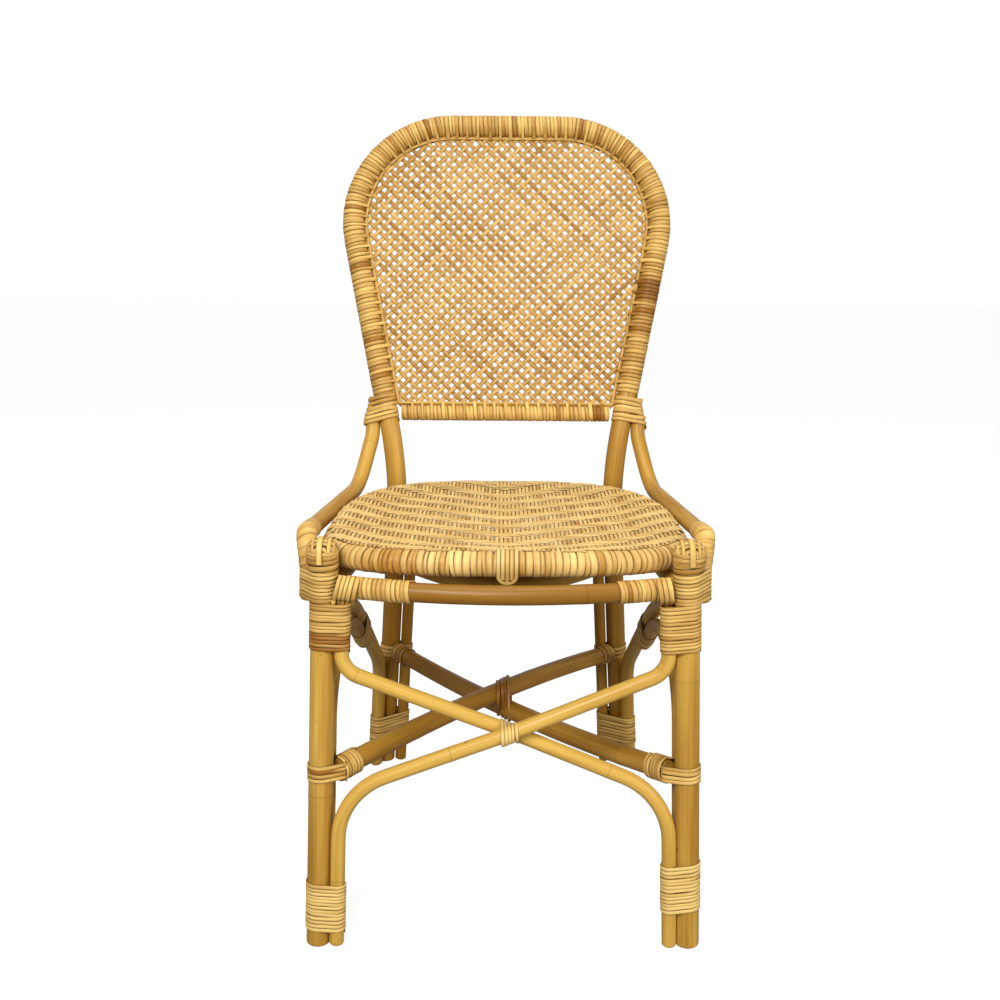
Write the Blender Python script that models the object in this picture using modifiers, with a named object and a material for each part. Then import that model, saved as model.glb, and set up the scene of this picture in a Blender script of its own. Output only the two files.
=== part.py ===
"""Rattan dining chair: bent poles lashed together with peel, a woven back and a woven seat.

Metres, +Z up, the sitter faces -Y. Left and right are a viewer's who looks at the front: left is -X.
The chair is laid out with its front legs on y = 0 and then hung on one empty, which centres it.
Every pole is a straight run between corner points, with its bends as arcs of a named radius.
"""

import math

import bmesh
import bpy
import numpy as np
from mathutils import Matrix, Quaternion, Vector

# Poles: outer diameters
LEG_D = 0.027
ARM_D = 0.020
RAIL_D = 0.0225
BACK_RAIL_D = 0.018
SIDE_RAIL_D = 0.020
BRACE_D = 0.016
SIDE_BRACE_D = 0.019
SIDE_ARCH_D = 0.017
REAR_ARCH_D = 0.016
STRETCHER_D = 0.023
SEAT_RING_D = 0.023
SEAT_BOW_D = 0.020
SEAT_SPINE_D = 0.018

# Peel: the strips that wrap and lash the poles
PEEL_T = 0.0017
PEEL_W = 0.0064
PEEL_GAP = 0.0007
SKIN_T = 0.0017
SEAT = 0.0003
LASH_CLEARANCE = 0.0001

# Seat, which sets where the legs, arms and rails stand
SEAT_HALF = 0.2085
SEAT_FRONT_Y = -0.0185
SEAT_DEPTH = 0.433
SEAT_WIDEST = 0.1535
FRONT_SQUARENESS = 3.6
REAR_SQUARENESS = 3.0
SEAT_RING_Z = 0.4342
SEAT_FALL = math.radians(0.95)
SEAT_DISH = 0.006
SEAT_SHEET_T = 0.0038
SEAT_SKIN_T = 0.0025
SHEET_SHARES = (1.0, 0.80, 0.45)
RIM_OPENING = math.radians(70)
SEAT_BOW_Y = 0.200
SEAT_BOW_SAG = 0.0475
SEAT_SPINE_DROP = 0.0055

# Back frame: one pole from foot to foot over the top, set by the seat's back edge
WAIST_IN = 0.0605
WAIST_AHEAD = 0.0025
WAIST_RISE = 0.0158
WAIST_BEND = 0.300
REAR_SPLAY = 0.028
REAR_RAKE = 0.067
SHOULDER_OUT = 0.101
BACK_LEAN = 0.114
BACK_HEIGHT = 0.4835
SHOULDER_BEND = 0.140
BACK_RAIL_RISE = 0.0825
WRAP_GAP = 0.0085
FOOT_STUB = 0.006

# Front legs, set by the seat's sides
LEG_IN = 0.0165
FRONT_SPLAY = 0.0124
LEG_TOP_RISE = 0.0173
CAP_R = 0.0168
CAP_DROP = 0.0135
CAP_CROWN = 0.0075
CAP_SHARES = ((0, 1), (0.5, 0.88), (0.85, 0.45), (1, -0.3))
BRACE_FOOT_LIFT = 0.002

# Lashings: how long each is, and where it sits on its poles
LASH_OVERRUN = 0.0005
WAIST_LASH_BELOW = 0.0145
WAIST_LASH_ABOVE = 0.022
POST_WRAP_DROP = 0.033
POST_WRAP_TALL = 0.030
POST_LASH_APART = 0.0025
POST_LASH_TALL = 0.049
FRONT_FOOT_LASH = (0.0260, 0.0800)
REAR_FOOT_LASH = (0.0400, 0.0860)
CROSS_LASH = 0.0207
STRETCHER_LASH = 0.0207
SIDE_LASH_BEHIND = 0.045
SIDE_LASH_LONG = 0.033
JOINT_LASH = 0.0210
JOINT_START = 0.0065
JOINT_BAND_HALF = 0.012
REAR_BAND_RISE = 0.001
RAIL_WRAP_SHARE = 0.62

# Arm poles, from the waist round the seat to the front posts
ARM_GAP = 0.005
ARM_LEVEL_RISE = 0.0063
ARM_LEAVE_DROP = 0.013
ARM_LAND_AHEAD = 0.027
ARM_LAND_IN = 0.023
ARM_LAND_DROP = 0.004
ARM_TURN_Y = 0.130
ARM_BEND = 0.060
ELBOW_OUT = 0.0071
ELBOW_Y = 0.0300
ELBOW_RISE = 0.017
ELBOW_BEND = 0.018
ARM_TUCK_BEND = 0.030
ARM_TUCK_ANGLE = math.radians(45)

# Rails and arch under the seat
FRONT_RAIL_GAP = 0.00065
FRONT_RAIL_BOW = 0.030
SIDE_RAIL_IN = 0.008
SIDE_RAIL_GAP = 0.0059
REAR_ARCH_GAP = 0.0006
REAR_ARCH_AHEAD = 0.010
REAR_ARCH_BEND = 0.045
REAR_ARCH_KNEE_DROP = 0.0743
REAR_ARCH_KNEE_BEND = 0.300

# Front cross brace
BRACE_CORNER_DROP = 0.020
BRACE_BAND_DROP = 0.010
BRACE_HIGH_BEND = 0.028
BRACE_LOW_BEND = 0.080
BRACE_CROSS_BEND = 0.300
BRACE_FORWARD = 0.0077

# Side braces and arches
SIDE_TOP_DROP = 0.004
SIDE_CROWN_Y = 0.200
SIDE_CROWN_DROP = 0.055
SIDE_CROWN_BEND = 0.300
SIDE_LOW_DROP = 0.016
SIDE_LOW_BEND = 0.090
SIDE_FOOT_OUT = 0.0127
ARCH_IN = 0.0045
ARCH_CORNER_DROP = 0.030
ARCH_BEND = 0.060
ARCH_CROWN_AHEAD = 0.015
ARCH_CROWN_BEND = 0.165
ARCH_END_BEHIND = 0.012

# Crossed stretchers
STRETCHER_FRONT_Z = 0.200
STRETCHER_REAR_Z = 0.181
STRETCHER_RISE = 0.0120
STRETCHER_ASIDE = 0.0105

# Woven back: strands in two slanting directions
NET_CELL = 0.0295
NET_STRAND = 0.0046
EDGE_STRAND_D = 0.0054

# How finely round things are cut
BEND_STEP = math.radians(13)
LOOP_POINTS = 9
BUNDLE_POINTS = 10
POLE_SIDES = 8
RING_POINTS = 36
TURN_STEPS = 12
RAIL_STEPS = 12
STRETCHER_STEPS = 8
RIM_STEPS = 8
FINE_ANGLES = 720
CUT_OVERRUN = 0.020

LEG_R, ARM_R, RAIL_R = LEG_D / 2, ARM_D / 2, RAIL_D / 2
BRACE_R, STRETCHER_R = BRACE_D / 2, STRETCHER_D / 2
WRAPPED_R = LEG_R + SEAT + SKIN_T
RIM_R = SEAT_RING_D / 2 + SEAT + SEAT_SKIN_T

# Places worked out from the seat
SEAT_BACK_Y = SEAT_FRONT_Y + SEAT_DEPTH
SEAT_UNDER_Z = SEAT_RING_Z - RIM_R
FRONT_TOP_HALF = SEAT_HALF - LEG_IN
FRONT_FOOT_HALF = FRONT_TOP_HALF + FRONT_SPLAY
LEG_TOP_Z = SEAT_RING_Z + LEG_TOP_RISE
WAIST_HALF = SEAT_HALF - WAIST_IN
WAIST_Y = SEAT_BACK_Y - WAIST_AHEAD
WAIST_Z = SEAT_RING_Z + WAIST_RISE
REAR_FOOT_HALF = WAIST_HALF + REAR_SPLAY
REAR_FOOT_Y = WAIST_Y + REAR_RAKE
SHOULDER_CORNER_HALF = WAIST_HALF + SHOULDER_OUT
TOP_Y = WAIST_Y + BACK_LEAN
TOP_Z = WAIST_Z + BACK_HEIGHT
BACK_RAIL_Z = WAIST_Z + BACK_RAIL_RISE
FRONT_RAIL_Z = SEAT_UNDER_Z - RAIL_R - FRONT_RAIL_GAP
SIDE_RAIL_Z = SEAT_UNDER_Z - SIDE_RAIL_D / 2 - SIDE_RAIL_GAP
REAR_ARCH_Y = WAIST_Y - REAR_ARCH_AHEAD
REAR_ARCH_FALL = math.tan(SEAT_FALL) * (REAR_ARCH_Y - SEAT_FRONT_Y)
REAR_ARCH_Z = SEAT_UNDER_Z - REAR_ARCH_FALL - REAR_ARCH_D / 2 - REAR_ARCH_GAP

# Places worked out from the lashings
WAIST_LASH = (BACK_RAIL_Z - WAIST_LASH_BELOW, BACK_RAIL_Z + WAIST_LASH_ABOVE)
WRAP_START_Z = WAIST_LASH[1] + WRAP_GAP
POST_WRAP = (LEG_TOP_Z - POST_WRAP_DROP - POST_WRAP_TALL, LEG_TOP_Z - POST_WRAP_DROP)
POST_LASH = (POST_WRAP[0] - POST_LASH_APART - POST_LASH_TALL, POST_WRAP[0] - POST_LASH_APART)
FRONT_BAND = (STRETCHER_FRONT_Z - JOINT_BAND_HALF, STRETCHER_FRONT_Z + JOINT_BAND_HALF)
REAR_BAND_Z = STRETCHER_REAR_Z + REAR_BAND_RISE
REAR_BAND = (REAR_BAND_Z - JOINT_BAND_HALF, REAR_BAND_Z + JOINT_BAND_HALF)
SIDE_LASH = (SIDE_CROWN_Y + SIDE_LASH_BEHIND, SIDE_CROWN_Y + SIDE_LASH_BEHIND + SIDE_LASH_LONG)
ARM_TOP_Z = WAIST_LASH[1] - LASH_OVERRUN
ARM_LEAVE_Z = WAIST_LASH[0] - ARM_LEAVE_DROP
ARM_TUCK_Z = POST_WRAP[1] + LASH_OVERRUN
ARM_FOOT_Z = POST_WRAP[0] - LASH_OVERRUN
ARM_HALF = SEAT_HALF + ARM_GAP + ARM_R
ARM_LEVEL_Z = SEAT_RING_Z + ARM_LEVEL_RISE
ARM_LAND_Y = WAIST_Y - ARM_LAND_AHEAD
ELBOW_Z = ARM_LEVEL_Z + ELBOW_RISE
BRACE_TOP_Z = POST_WRAP[0] - LASH_OVERRUN
BRACE_HIGH_CORNER_Z = POST_LASH[0] - BRACE_CORNER_DROP
BRACE_LOW_CORNER_Z = FRONT_BAND[0] - BRACE_BAND_DROP
SIDE_TOP_Z = POST_LASH[1] - SIDE_TOP_DROP
SIDE_CROWN_Z = SIDE_TOP_Z - SIDE_CROWN_DROP
SIDE_LOW_Z = STRETCHER_REAR_Z - SIDE_LOW_DROP
ARCH_CORNER_Z = SIDE_CROWN_Z - ARCH_CORNER_DROP
ARCH_CROWN_Y = SIDE_CROWN_Y - ARCH_CROWN_AHEAD
ARCH_END_Y = SIDE_LASH[1] + ARCH_END_BEHIND

BACK_SLOPE = Vector((SHOULDER_OUT, BACK_LEAN, BACK_HEIGHT))
REAR_LEG_SLOPE = Vector((-REAR_SPLAY, -REAR_RAKE, WAIST_Z))
FRONT_LEG_SLOPE = Vector((-FRONT_SPLAY, 0, LEG_TOP_Z))
LEAN = math.atan2(BACK_SLOPE.y, BACK_SLOPE.z)
SPLAY = math.atan2(BACK_SLOPE.x, BACK_SLOPE.z)
LASHED_R = (
    (LEG_R + SEAT + LASH_CLEARANCE + PEEL_T / 2) / math.cos(math.pi / LOOP_POINTS) + PEEL_T / 2
)
FRONT_REACH = -(FRONT_RAIL_BOW + RAIL_R)
REAR_REACH = TOP_Y + WRAPPED_R * math.cos(LEAN)
DEPTH_CENTRE = (FRONT_REACH + REAR_REACH) / 2

POLE_TAN, PEEL_TAN, PEEL_PALE, WEAVE_TAN = (
    (0.50, 0.30, 0.085, 1), (0.66, 0.44, 0.17, 1), (0.72, 0.52, 0.24, 1), (0.62, 0.41, 0.17, 1),
)


def material(name, colour, roughness):
    made = bpy.data.materials.new(name)
    made.use_nodes = True
    shader = made.node_tree.nodes["Principled BSDF"]
    shader.inputs["Base Color"].default_value = colour
    shader.inputs["Roughness"].default_value = roughness
    shader.inputs["Metallic"].default_value = 0
    return made


def clear_scene():
    for old in list(bpy.data.objects):
        bpy.data.objects.remove(old)


def collection(name):
    made = bpy.data.collections.new(name)
    bpy.context.scene.collection.children.link(made)
    return made


def mirrored(points, side):
    """The same points on the left (-1) or the right (1)."""
    return [Vector((side * p.x, p.y, p.z)) for p in points]


def on_line(foot, slope, z):
    """The point of a straight pole at height z."""
    return foot + slope * ((z - foot.z) / slope.z)


def front_leg_at(z):
    return on_line(Vector((FRONT_FOOT_HALF, 0, 0)), FRONT_LEG_SLOPE, z)


def rear_leg_at(z):
    return on_line(Vector((REAR_FOOT_HALF, REAR_FOOT_Y, 0)), REAR_LEG_SLOPE, z)


def back_at(z):
    """The side of the back frame above the waist, at height z."""
    return on_line(Vector((WAIST_HALF, WAIST_Y, WAIST_Z)), BACK_SLOPE, z)


def bent(corners, bends):
    """A pole's centreline: straight runs, and an arc of the given radius at each corner between them."""
    path = [corners[0]]
    for before, corner, after, radius in zip(corners, corners[1:], corners[2:], bends):
        back, ahead = (before - corner).normalized(), (after - corner).normalized()
        half = back.angle(ahead) / 2
        middle = corner + (back + ahead).normalized() * (radius / math.sin(half))
        start = corner + back * (radius / math.tan(half))
        turn = math.pi - 2 * half
        axis = (start - middle).cross(-back).normalized()
        steps = max(2, round(turn / BEND_STEP))
        path += [
            middle + Quaternion(axis, turn * i / steps) @ (start - middle) for i in range(steps + 1)
        ]
    return path + [corners[-1]]


def bowed(start, end, middle, steps):
    """An even bow from start to end: a parabola whose middle is shifted by the vector middle."""
    shares = [i / steps for i in range(steps + 1)]
    return [start.lerp(end, s) + middle * (4 * s * (1 - s)) for s in shares]


def flat_footed(path):
    """A last short upright run, so that the pole's cut foot lies flat on the floor."""
    return [path[0], path[0] + Vector((0, 0, FOOT_STUB))] + path[1:]


def curve(name, points, cyclic=False, flat=False):
    made = bpy.data.curves.new(name, "CURVE")
    made.dimensions = "2D" if flat else "3D"
    spline = made.splines.new("POLY")
    spline.points.add(len(points) - 1)
    for point, place in zip(spline.points, points):
        point.co = (*place, 1)
    spline.use_cyclic_u = cyclic
    return bpy.data.objects.new(name, made)


def pole(name, path, diameter, cyclic=False):
    """A round pole along a path, its ends cut square."""
    made = curve(name, path, cyclic)
    made.data.bevel_depth = diameter / 2
    made.data.bevel_resolution = (POLE_SIDES - 4) // 2
    made.data.use_fill_caps = not cyclic
    return keep(made, MATERIALS["pole"])


def keep(made, finish):
    CHAIR.objects.link(made)
    made.parent = CENTRE
    made.data.materials.append(finish)
    return made


def helper(made):
    CUTTERS.objects.link(made)
    made.parent = CENTRE
    made.hide_render = True
    made.display_type = "WIRE"
    return made


def mesh_of(made):
    """A curve's surface as a mesh, with its loose caps welded on."""
    bpy.context.view_layer.update()
    graph = bpy.context.evaluated_depsgraph_get()
    mesh = bpy.data.meshes.new_from_object(made.evaluated_get(graph))
    shape = bmesh.new()
    shape.from_mesh(mesh)
    bmesh.ops.remove_doubles(shape, verts=shape.verts, dist=SEAT / 10)
    shape.to_mesh(mesh)
    shape.free()
    return mesh


def sleeve(name, path, diameter, first, last):
    """A skin of peel round a pole, from one point of its path to another.

    It is the pole's own surface there, set off by the seating gap and thickened outwards.
    """
    tube = curve(name + "_tube", path)
    tube.data.bevel_depth = diameter / 2 + SEAT
    tube.data.bevel_resolution = (POLE_SIDES - 4) // 2
    bpy.context.scene.collection.objects.link(tube)
    mesh = mesh_of(tube)
    bpy.data.objects.remove(tube)
    shape = bmesh.new()
    shape.from_mesh(mesh)
    shape.verts.ensure_lookup_table()
    kept = range(first * POLE_SIDES, (last + 1) * POLE_SIDES)
    bmesh.ops.delete(shape, geom=[v for v in shape.verts if v.index not in kept], context="VERTS")
    shape.to_mesh(mesh)
    shape.free()
    made = bpy.data.objects.new(name, mesh)
    wall = made.modifiers.new("Peel", "SOLIDIFY")
    wall.thickness = SKIN_T
    wall.offset = 1
    return keep(made, MATERIALS["peel"])


def rubber_band(circles, count):
    """The line of a band pulled round some circles (x, y, radius), as evenly spaced points.

    At each angle the band lies on the circle that reaches furthest that way. Its straight runs
    between points would cut the round parts, so the band is let out until every run clears them.
    """
    angles = np.linspace(0, 2 * math.pi, FINE_ANGLES + 1)
    ways = np.stack([np.cos(angles), np.sin(angles)], axis=1)
    centres, radii = np.array(circles)[:, :2], np.array(circles)[:, 2]
    slack = 0
    while True:
        furthest = (ways @ centres.T + radii).argmax(axis=1)
        line = centres[furthest] + ways * (radii[furthest] + slack)[:, None]
        run = np.concatenate([[0], np.hypot(*np.diff(line, axis=0).T).cumsum()])
        even = np.arange(count) * run[-1] / count
        band = np.stack([np.interp(even, run, line[:, i]) for i in (0, 1)], axis=1)
        along = np.roll(band, -1, axis=0) - band
        inward = np.stack([-along[:, 1], along[:, 0]], axis=1) / np.hypot(*along.T)[:, None]
        depth = centres @ inward.T - (band * inward).sum(axis=1)
        if (depth >= radii[:, None]).all():
            return band
        slack += SEAT / 10


def least_gap(points, count):
    """The least distance between two turns of a winding, edge to edge."""
    spots = np.array(points)
    apart = np.linalg.norm(spots[:, None] - spots[None], axis=2)
    near = np.abs(np.subtract.outer(np.arange(len(spots)), np.arange(len(spots)))) < count / 2
    return np.where(near, np.inf, apart).min() - PEEL_W


def lashing(name, start, end, circles, finish="peel"):
    """One strip of peel wound from start to end round a bundle of poles.

    The circles are the bundle's poles, as offsets from the line start to end: their x is along
    the chair's X, or points down where that line itself runs along X. The strip is one unbroken
    winding: it goes round the rubber band's line and climbs one strip and a gap a turn.
    """
    axis = end - start
    pitch = PEEL_W + PEEL_GAP
    turns = max(2, int((axis.length - PEEL_W) / pitch))
    off = SEAT + LASH_CLEARANCE + PEEL_T / 2
    count = BUNDLE_POINTS if len(circles) > 1 else LOOP_POINTS
    band = rubber_band([(x, y, r + off) for x, y, r in circles], count)
    climb = (axis.length - PEEL_W) / turns
    points = [
        (*band[i % count], PEEL_W / 2 + climb * i / count) for i in range(turns * count + 1)
    ]
    made = curve(name, points)
    made.data.bevel_mode = "OBJECT"
    made.data.bevel_object = PEEL_SECTION
    made.data.use_fill_caps = True
    made.data.twist_mode = "Z_UP"
    up = axis.normalized()
    level = Vector((0, 0, -1)) if abs(up.x) > math.cos(math.pi / 4) else Vector((1, 0, 0))
    across = (level - up * up.dot(level)).normalized()
    turned = Matrix((across, up.cross(across), up)).transposed().to_4x4()
    made.matrix_local = Matrix.Translation(start) @ turned
    print(f"{name}: {turns} turns, least gap to itself {least_gap(points, count) * 1000:.2f} mm")
    return keep(made, MATERIALS[finish])


def peel_section():
    """A strip of peel cut across: flat inside and raised to a crest outside."""
    half_t, half_w = PEEL_T / 2, PEEL_W / 2
    outline = [(-half_t, half_w, 0), (half_t, 0, 0), (-half_t, -half_w, 0)]
    return helper(curve("peel_section", outline, cyclic=True, flat=True))


def turned(name, profile, finish):
    """A turned solid from (radius, height) points down its outside and back up its inside."""
    mesh = bpy.data.meshes.new(name)
    spots = [(r, 0, z) for r, z in profile]
    mesh.from_pydata(spots, [(i, i + 1) for i in range(len(spots) - 1)], [])
    made = bpy.data.objects.new(name, mesh)
    screw = made.modifiers.new("Turn", "SCREW")
    screw.steps = screw.render_steps = TURN_STEPS
    screw.use_merge_vertices = True
    screw.merge_threshold = SEAT / 10
    return keep(made, finish)


def back_hoop_path():
    foot = Vector((REAR_FOOT_HALF, REAR_FOOT_Y, 0))
    waist = Vector((WAIST_HALF, WAIST_Y, WAIST_Z))
    shoulder = Vector((SHOULDER_CORNER_HALF, TOP_Y, TOP_Z))
    right = [foot, waist, shoulder]
    left = mirrored(right, -1)
    bends = [WAIST_BEND, SHOULDER_BEND, SHOULDER_BEND, WAIST_BEND]
    path = bent(left + right[::-1], bends)
    last_up = path[-1] + Vector((0, 0, FOOT_STUB))
    return flat_footed(path)[:-1] + [last_up, path[-1]]


def wrapped_stretch(path):
    """The first and last points of the back frame's path that peel covers."""
    high = [i for i, p in enumerate(path) if p.z > WRAP_START_Z]
    return high[0], high[-1]


def with_wrap_ends(path):
    """The back frame's path, with a point on each side where its wrapping starts."""
    start = back_at(WRAP_START_Z)
    high = [i for i, p in enumerate(path) if p.z > WRAP_START_Z]
    nudge = Vector((0, 0, SEAT))
    return (
        path[: high[0]] + mirrored([start + nudge], -1) + path[high[0] : high[-1] + 1]
        + [start + nudge] + path[high[-1] + 1 :]
    )


def make_back_frame():
    path = with_wrap_ends(back_hoop_path())
    pole("back_hoop", path, LEG_D)
    sleeve("back_hoop_wrap", path, LEG_D, *wrapped_stretch(path))

    side = back_at(BACK_RAIL_Z)
    end = side.x - LASHED_R / math.cos(SPLAY) - BACK_RAIL_D / 2 * math.tan(SPLAY) - 4 * SEAT
    rail = [Vector((-end, side.y, side.z)), Vector((end, side.y, side.z))]
    pole("back_rail", rail, BACK_RAIL_D)
    wrap = curve_between(rail, SEAT + 2 * PEEL_T)
    sleeve("back_rail_wrap", [rail[0]] + wrap + [rail[1]], BACK_RAIL_D, 1, 2)


def curve_between(ends, inset):
    """The two points that lie a short way in from each end of a straight run."""
    run = (ends[1] - ends[0]).normalized() * inset
    return [ends[0] + run, ends[1] - run]


def back_plane():
    """The matrix that lays a drawing (x across, y up the back) in the leaning back's plane."""
    up = Vector((0, BACK_LEAN, BACK_HEIGHT)).normalized()
    across = Vector((1, 0, 0))
    turned = Matrix((across, up, across.cross(up))).transposed().to_4x4()
    return Matrix.Translation(Vector((0, WAIST_Y, WAIST_Z))) @ turned


def back_opening(inset):
    """The outline inside the wrapped back frame and rail, in the back's plane, drawn in by inset."""
    drawn = back_plane().inverted()
    frame = [drawn @ p for p in back_hoop_path()]
    rail_y = (drawn @ back_at(BACK_RAIL_Z)).y
    floor = rail_y + BACK_RAIL_D / 2 + SEAT + SKIN_T + inset
    inwards = WRAPPED_R + inset
    shifted = []
    for before, here, after in zip(frame, frame[1:], frame[2:]):
        along = (after - before).normalized()
        shifted.append(here + Vector((along.y, -along.x, 0)) * inwards)
    high = (drawn @ back_at(WRAP_START_Z)).y
    inside = [Vector((p.x, p.y, 0)) for p in shifted if p.y > high]
    widen = BACK_SLOPE.x / (drawn @ Vector((0, TOP_Y, TOP_Z))).y
    corner = WAIST_HALF + widen * floor - (LASHED_R + 5 * SEAT + inset) / math.cos(SPLAY)
    return [Vector((-corner, floor, 0))] + inside + [Vector((corner, floor, 0))]


def make_back_weave():
    """The open diagonal net: a turned grid made into strands, cut to the frame's opening.

    Its outermost strand lies along the frame, and the slanting strands end in it.
    """
    width = 2 * SHOULDER_CORNER_HALF
    cells = int((width + BACK_HEIGHT) / NET_CELL / math.sqrt(2)) + 2
    grid = bmesh.new()
    bmesh.ops.create_grid(grid, x_segments=cells, y_segments=cells, size=cells * NET_CELL / 2)
    bmesh.ops.rotate(grid, verts=grid.verts, matrix=Matrix.Rotation(math.pi / 4, 3, "Z"))
    bmesh.ops.translate(grid, verts=grid.verts, vec=(0, BACK_HEIGHT / 2, 0))
    mesh = bpy.data.meshes.new("back_weave")
    grid.to_mesh(mesh)
    grid.free()
    weave = keep(bpy.data.objects.new("back_weave", mesh), MATERIALS["weave"])
    weave.matrix_local = back_plane()
    strands = weave.modifiers.new("Strands", "WIREFRAME")
    strands.thickness = NET_STRAND
    strands.use_boundary = True
    strands.use_replace = True

    outline = back_opening(SEAT + EDGE_STRAND_D / 2)
    opening = curve("back_opening", outline, cyclic=True, flat=True)
    opening.data.fill_mode = "BOTH"
    opening.data.extrude = CUT_OVERRUN
    bpy.context.scene.collection.objects.link(opening)
    prism = helper(bpy.data.objects.new("back_opening_cutter", mesh_of(opening)))
    bpy.data.objects.remove(opening)
    prism.matrix_local = back_plane()
    trim = weave.modifiers.new("Trim", "BOOLEAN")
    trim.operation, trim.object = "INTERSECT", prism

    edge = curve("edge_strand", outline, cyclic=True)
    edge.data.bevel_depth = EDGE_STRAND_D / 2
    edge.data.bevel_resolution = (POLE_SIDES - 4) // 2
    for point in edge.data.splines[0].points:
        point.tilt = math.pi / POLE_SIDES
    bpy.context.scene.collection.objects.link(edge)
    strand = helper(bpy.data.objects.new("edge_strand_tool", mesh_of(edge)))
    bpy.data.objects.remove(edge)
    strand.matrix_local = back_plane()
    join = weave.modifiers.new("Edge", "BOOLEAN")
    join.operation, join.object = "UNION", strand


def arm_tuck(z):
    """The arm pole's foot, lashed to the outer back of the front leg."""
    off = LEG_R + ARM_R + 2 * SEAT
    leg = front_leg_at(z)
    return leg + Vector((math.cos(ARM_TUCK_ANGLE), math.sin(ARM_TUCK_ANGLE), 0)) * off


def arm_path():
    beside = Vector(((LEG_R + ARM_R + 3 * SEAT) / math.cos(LEAN), 0, 0))
    corners = [
        back_at(ARM_TOP_Z) + beside,
        back_at(ARM_LEAVE_Z) + beside,
        Vector((ARM_HALF - ARM_LAND_IN, ARM_LAND_Y, ARM_LEVEL_Z - ARM_LAND_DROP)),
        Vector((ARM_HALF, ARM_TURN_Y, ARM_LEVEL_Z)),
        Vector((arm_tuck(ELBOW_Z).x + ELBOW_OUT, ELBOW_Y, ELBOW_Z)),
        arm_tuck(ARM_TUCK_Z),
        arm_tuck(ARM_FOOT_Z),
    ]
    return bent(corners, [ARM_BEND, ARM_BEND, ARM_BEND, ELBOW_BEND, ARM_TUCK_BEND])


def elbow_stretch(path):
    """The points of the arm's path that peel covers, from ahead of the elbow to the lashing."""
    turn = max(i for i, p in enumerate(path) if p.y > ARM_TURN_Y - ARM_BEND)
    end = max(i for i, p in enumerate(path) if p.z > ARM_TUCK_Z)
    return turn, end


def make_arms():
    for side, word in ((-1, "left"), (1, "right")):
        path = arm_path()
        first, last = elbow_stretch(path)
        path = mirrored(path, side)
        pole(f"arm_pole_{word}", path, ARM_D)
        sleeve(f"arm_elbow_wrap_{word}", path, ARM_D, first, last)


def make_front_legs():
    for side, word in ((-1, "left"), (1, "right")):
        foot, top = mirrored([front_leg_at(0), front_leg_at(LEG_TOP_Z)], side)
        pole(f"front_leg_{word}", flat_footed([foot, top]), LEG_D)
        bore = (LEG_R + SEAT) / math.cos(math.pi / TURN_STEPS)
        lip = -CAP_DROP
        crown = [(CAP_R * out, CAP_CROWN * up) for out, up in CAP_SHARES]
        hollow = [(CAP_R, lip), (bore, lip), (bore, 2 * SEAT), (0, 2 * SEAT)]
        cap = turned(f"post_cap_{word}", crown + hollow, MATERIALS["peel"])
        cap.rotation_euler.y = side * math.atan2(FRONT_LEG_SLOPE.x, FRONT_LEG_SLOPE.z)
        cap.location = top


def brace_offset():
    """From a front leg's centre to the cross brace that is lashed to its inner side."""
    apart = LEG_R + BRACE_R + 2 * SEAT
    return Vector((-math.sqrt(apart**2 - BRACE_FORWARD**2), -BRACE_FORWARD, 0))


def make_front_braces():
    beside = brace_offset()
    high = front_leg_at(BRACE_TOP_Z) + beside
    high_corner = front_leg_at(BRACE_HIGH_CORNER_Z) + beside
    low_corner = front_leg_at(BRACE_LOW_CORNER_Z) + beside
    foot = front_leg_at(BRACE_FOOT_LIFT) + beside
    step = Vector((0, BRACE_R + SEAT, 0))
    for side, word, depth in ((-1, "left", step), (1, "right", -step)):
        start, upper = mirrored([high, high_corner], side)
        lower, end = mirrored([low_corner, foot], -side)
        middle = (upper + lower) / 2 + depth
        corners = [start, upper, middle, lower, end]
        path = bent(corners, [BRACE_HIGH_BEND, BRACE_CROSS_BEND, BRACE_LOW_BEND])
        pole(f"front_brace_from_{word}", path, BRACE_D)
    slope = math.atan2(high_corner.z - low_corner.z, high_corner.x + low_corner.x)
    spot = Vector((0, beside.y, (high_corner.z + low_corner.z) / 2))
    half = Vector((CROSS_LASH / 2, 0, 0))
    tall = BRACE_R / math.cos(slope) + math.tan(slope) * (CROSS_LASH - PEEL_W) / 2
    circles = [
        (shift, y, BRACE_R)
        for y in (-BRACE_R - SEAT, BRACE_R + SEAT)
        for shift in (BRACE_R - tall, tall - BRACE_R)
    ]
    lashing("front_cross_lashing", spot - half, spot + half, circles, "pale")


def side_brace_offset():
    """From a rear leg's centre to the side brace that is lashed to its front."""
    apart = LEG_R + SIDE_BRACE_D / 2 + 3 * SEAT
    return Vector((SIDE_FOOT_OUT, -math.sqrt(apart**2 - SIDE_FOOT_OUT**2), 0))


def arch_offset():
    """From a front leg's centre to the side arch behind it, with room for a winding between."""
    apart = LASHED_R + SIDE_ARCH_D / 2 + SEAT
    return Vector((-ARCH_IN, math.sqrt(apart**2 - ARCH_IN**2), 0))


def side_brace_corners():
    dip = math.atan2(SIDE_TOP_Z - SIDE_CROWN_Z, SIDE_CROWN_Y)
    behind = LASHED_R + SIDE_BRACE_D / 2 * math.sin(dip) + 2 * SEAT
    top = front_leg_at(SIDE_TOP_Z) + Vector((0, behind, 0))
    low = rear_leg_at(SIDE_LOW_Z) + side_brace_offset()
    share = SIDE_CROWN_Y / REAR_FOOT_Y
    crown = Vector((top.x + (low.x - top.x) * share, SIDE_CROWN_Y, SIDE_CROWN_Z))
    foot = rear_leg_at(BRACE_FOOT_LIFT) + side_brace_offset()
    return [top, crown, low, foot]


def side_fall(y):
    """The point at depth y on the side brace's straight run down to the rear leg."""
    _, crown, low, _ = side_brace_corners()
    return crown + (low - crown) * ((y - crown.y) / (low.y - crown.y))


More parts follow.
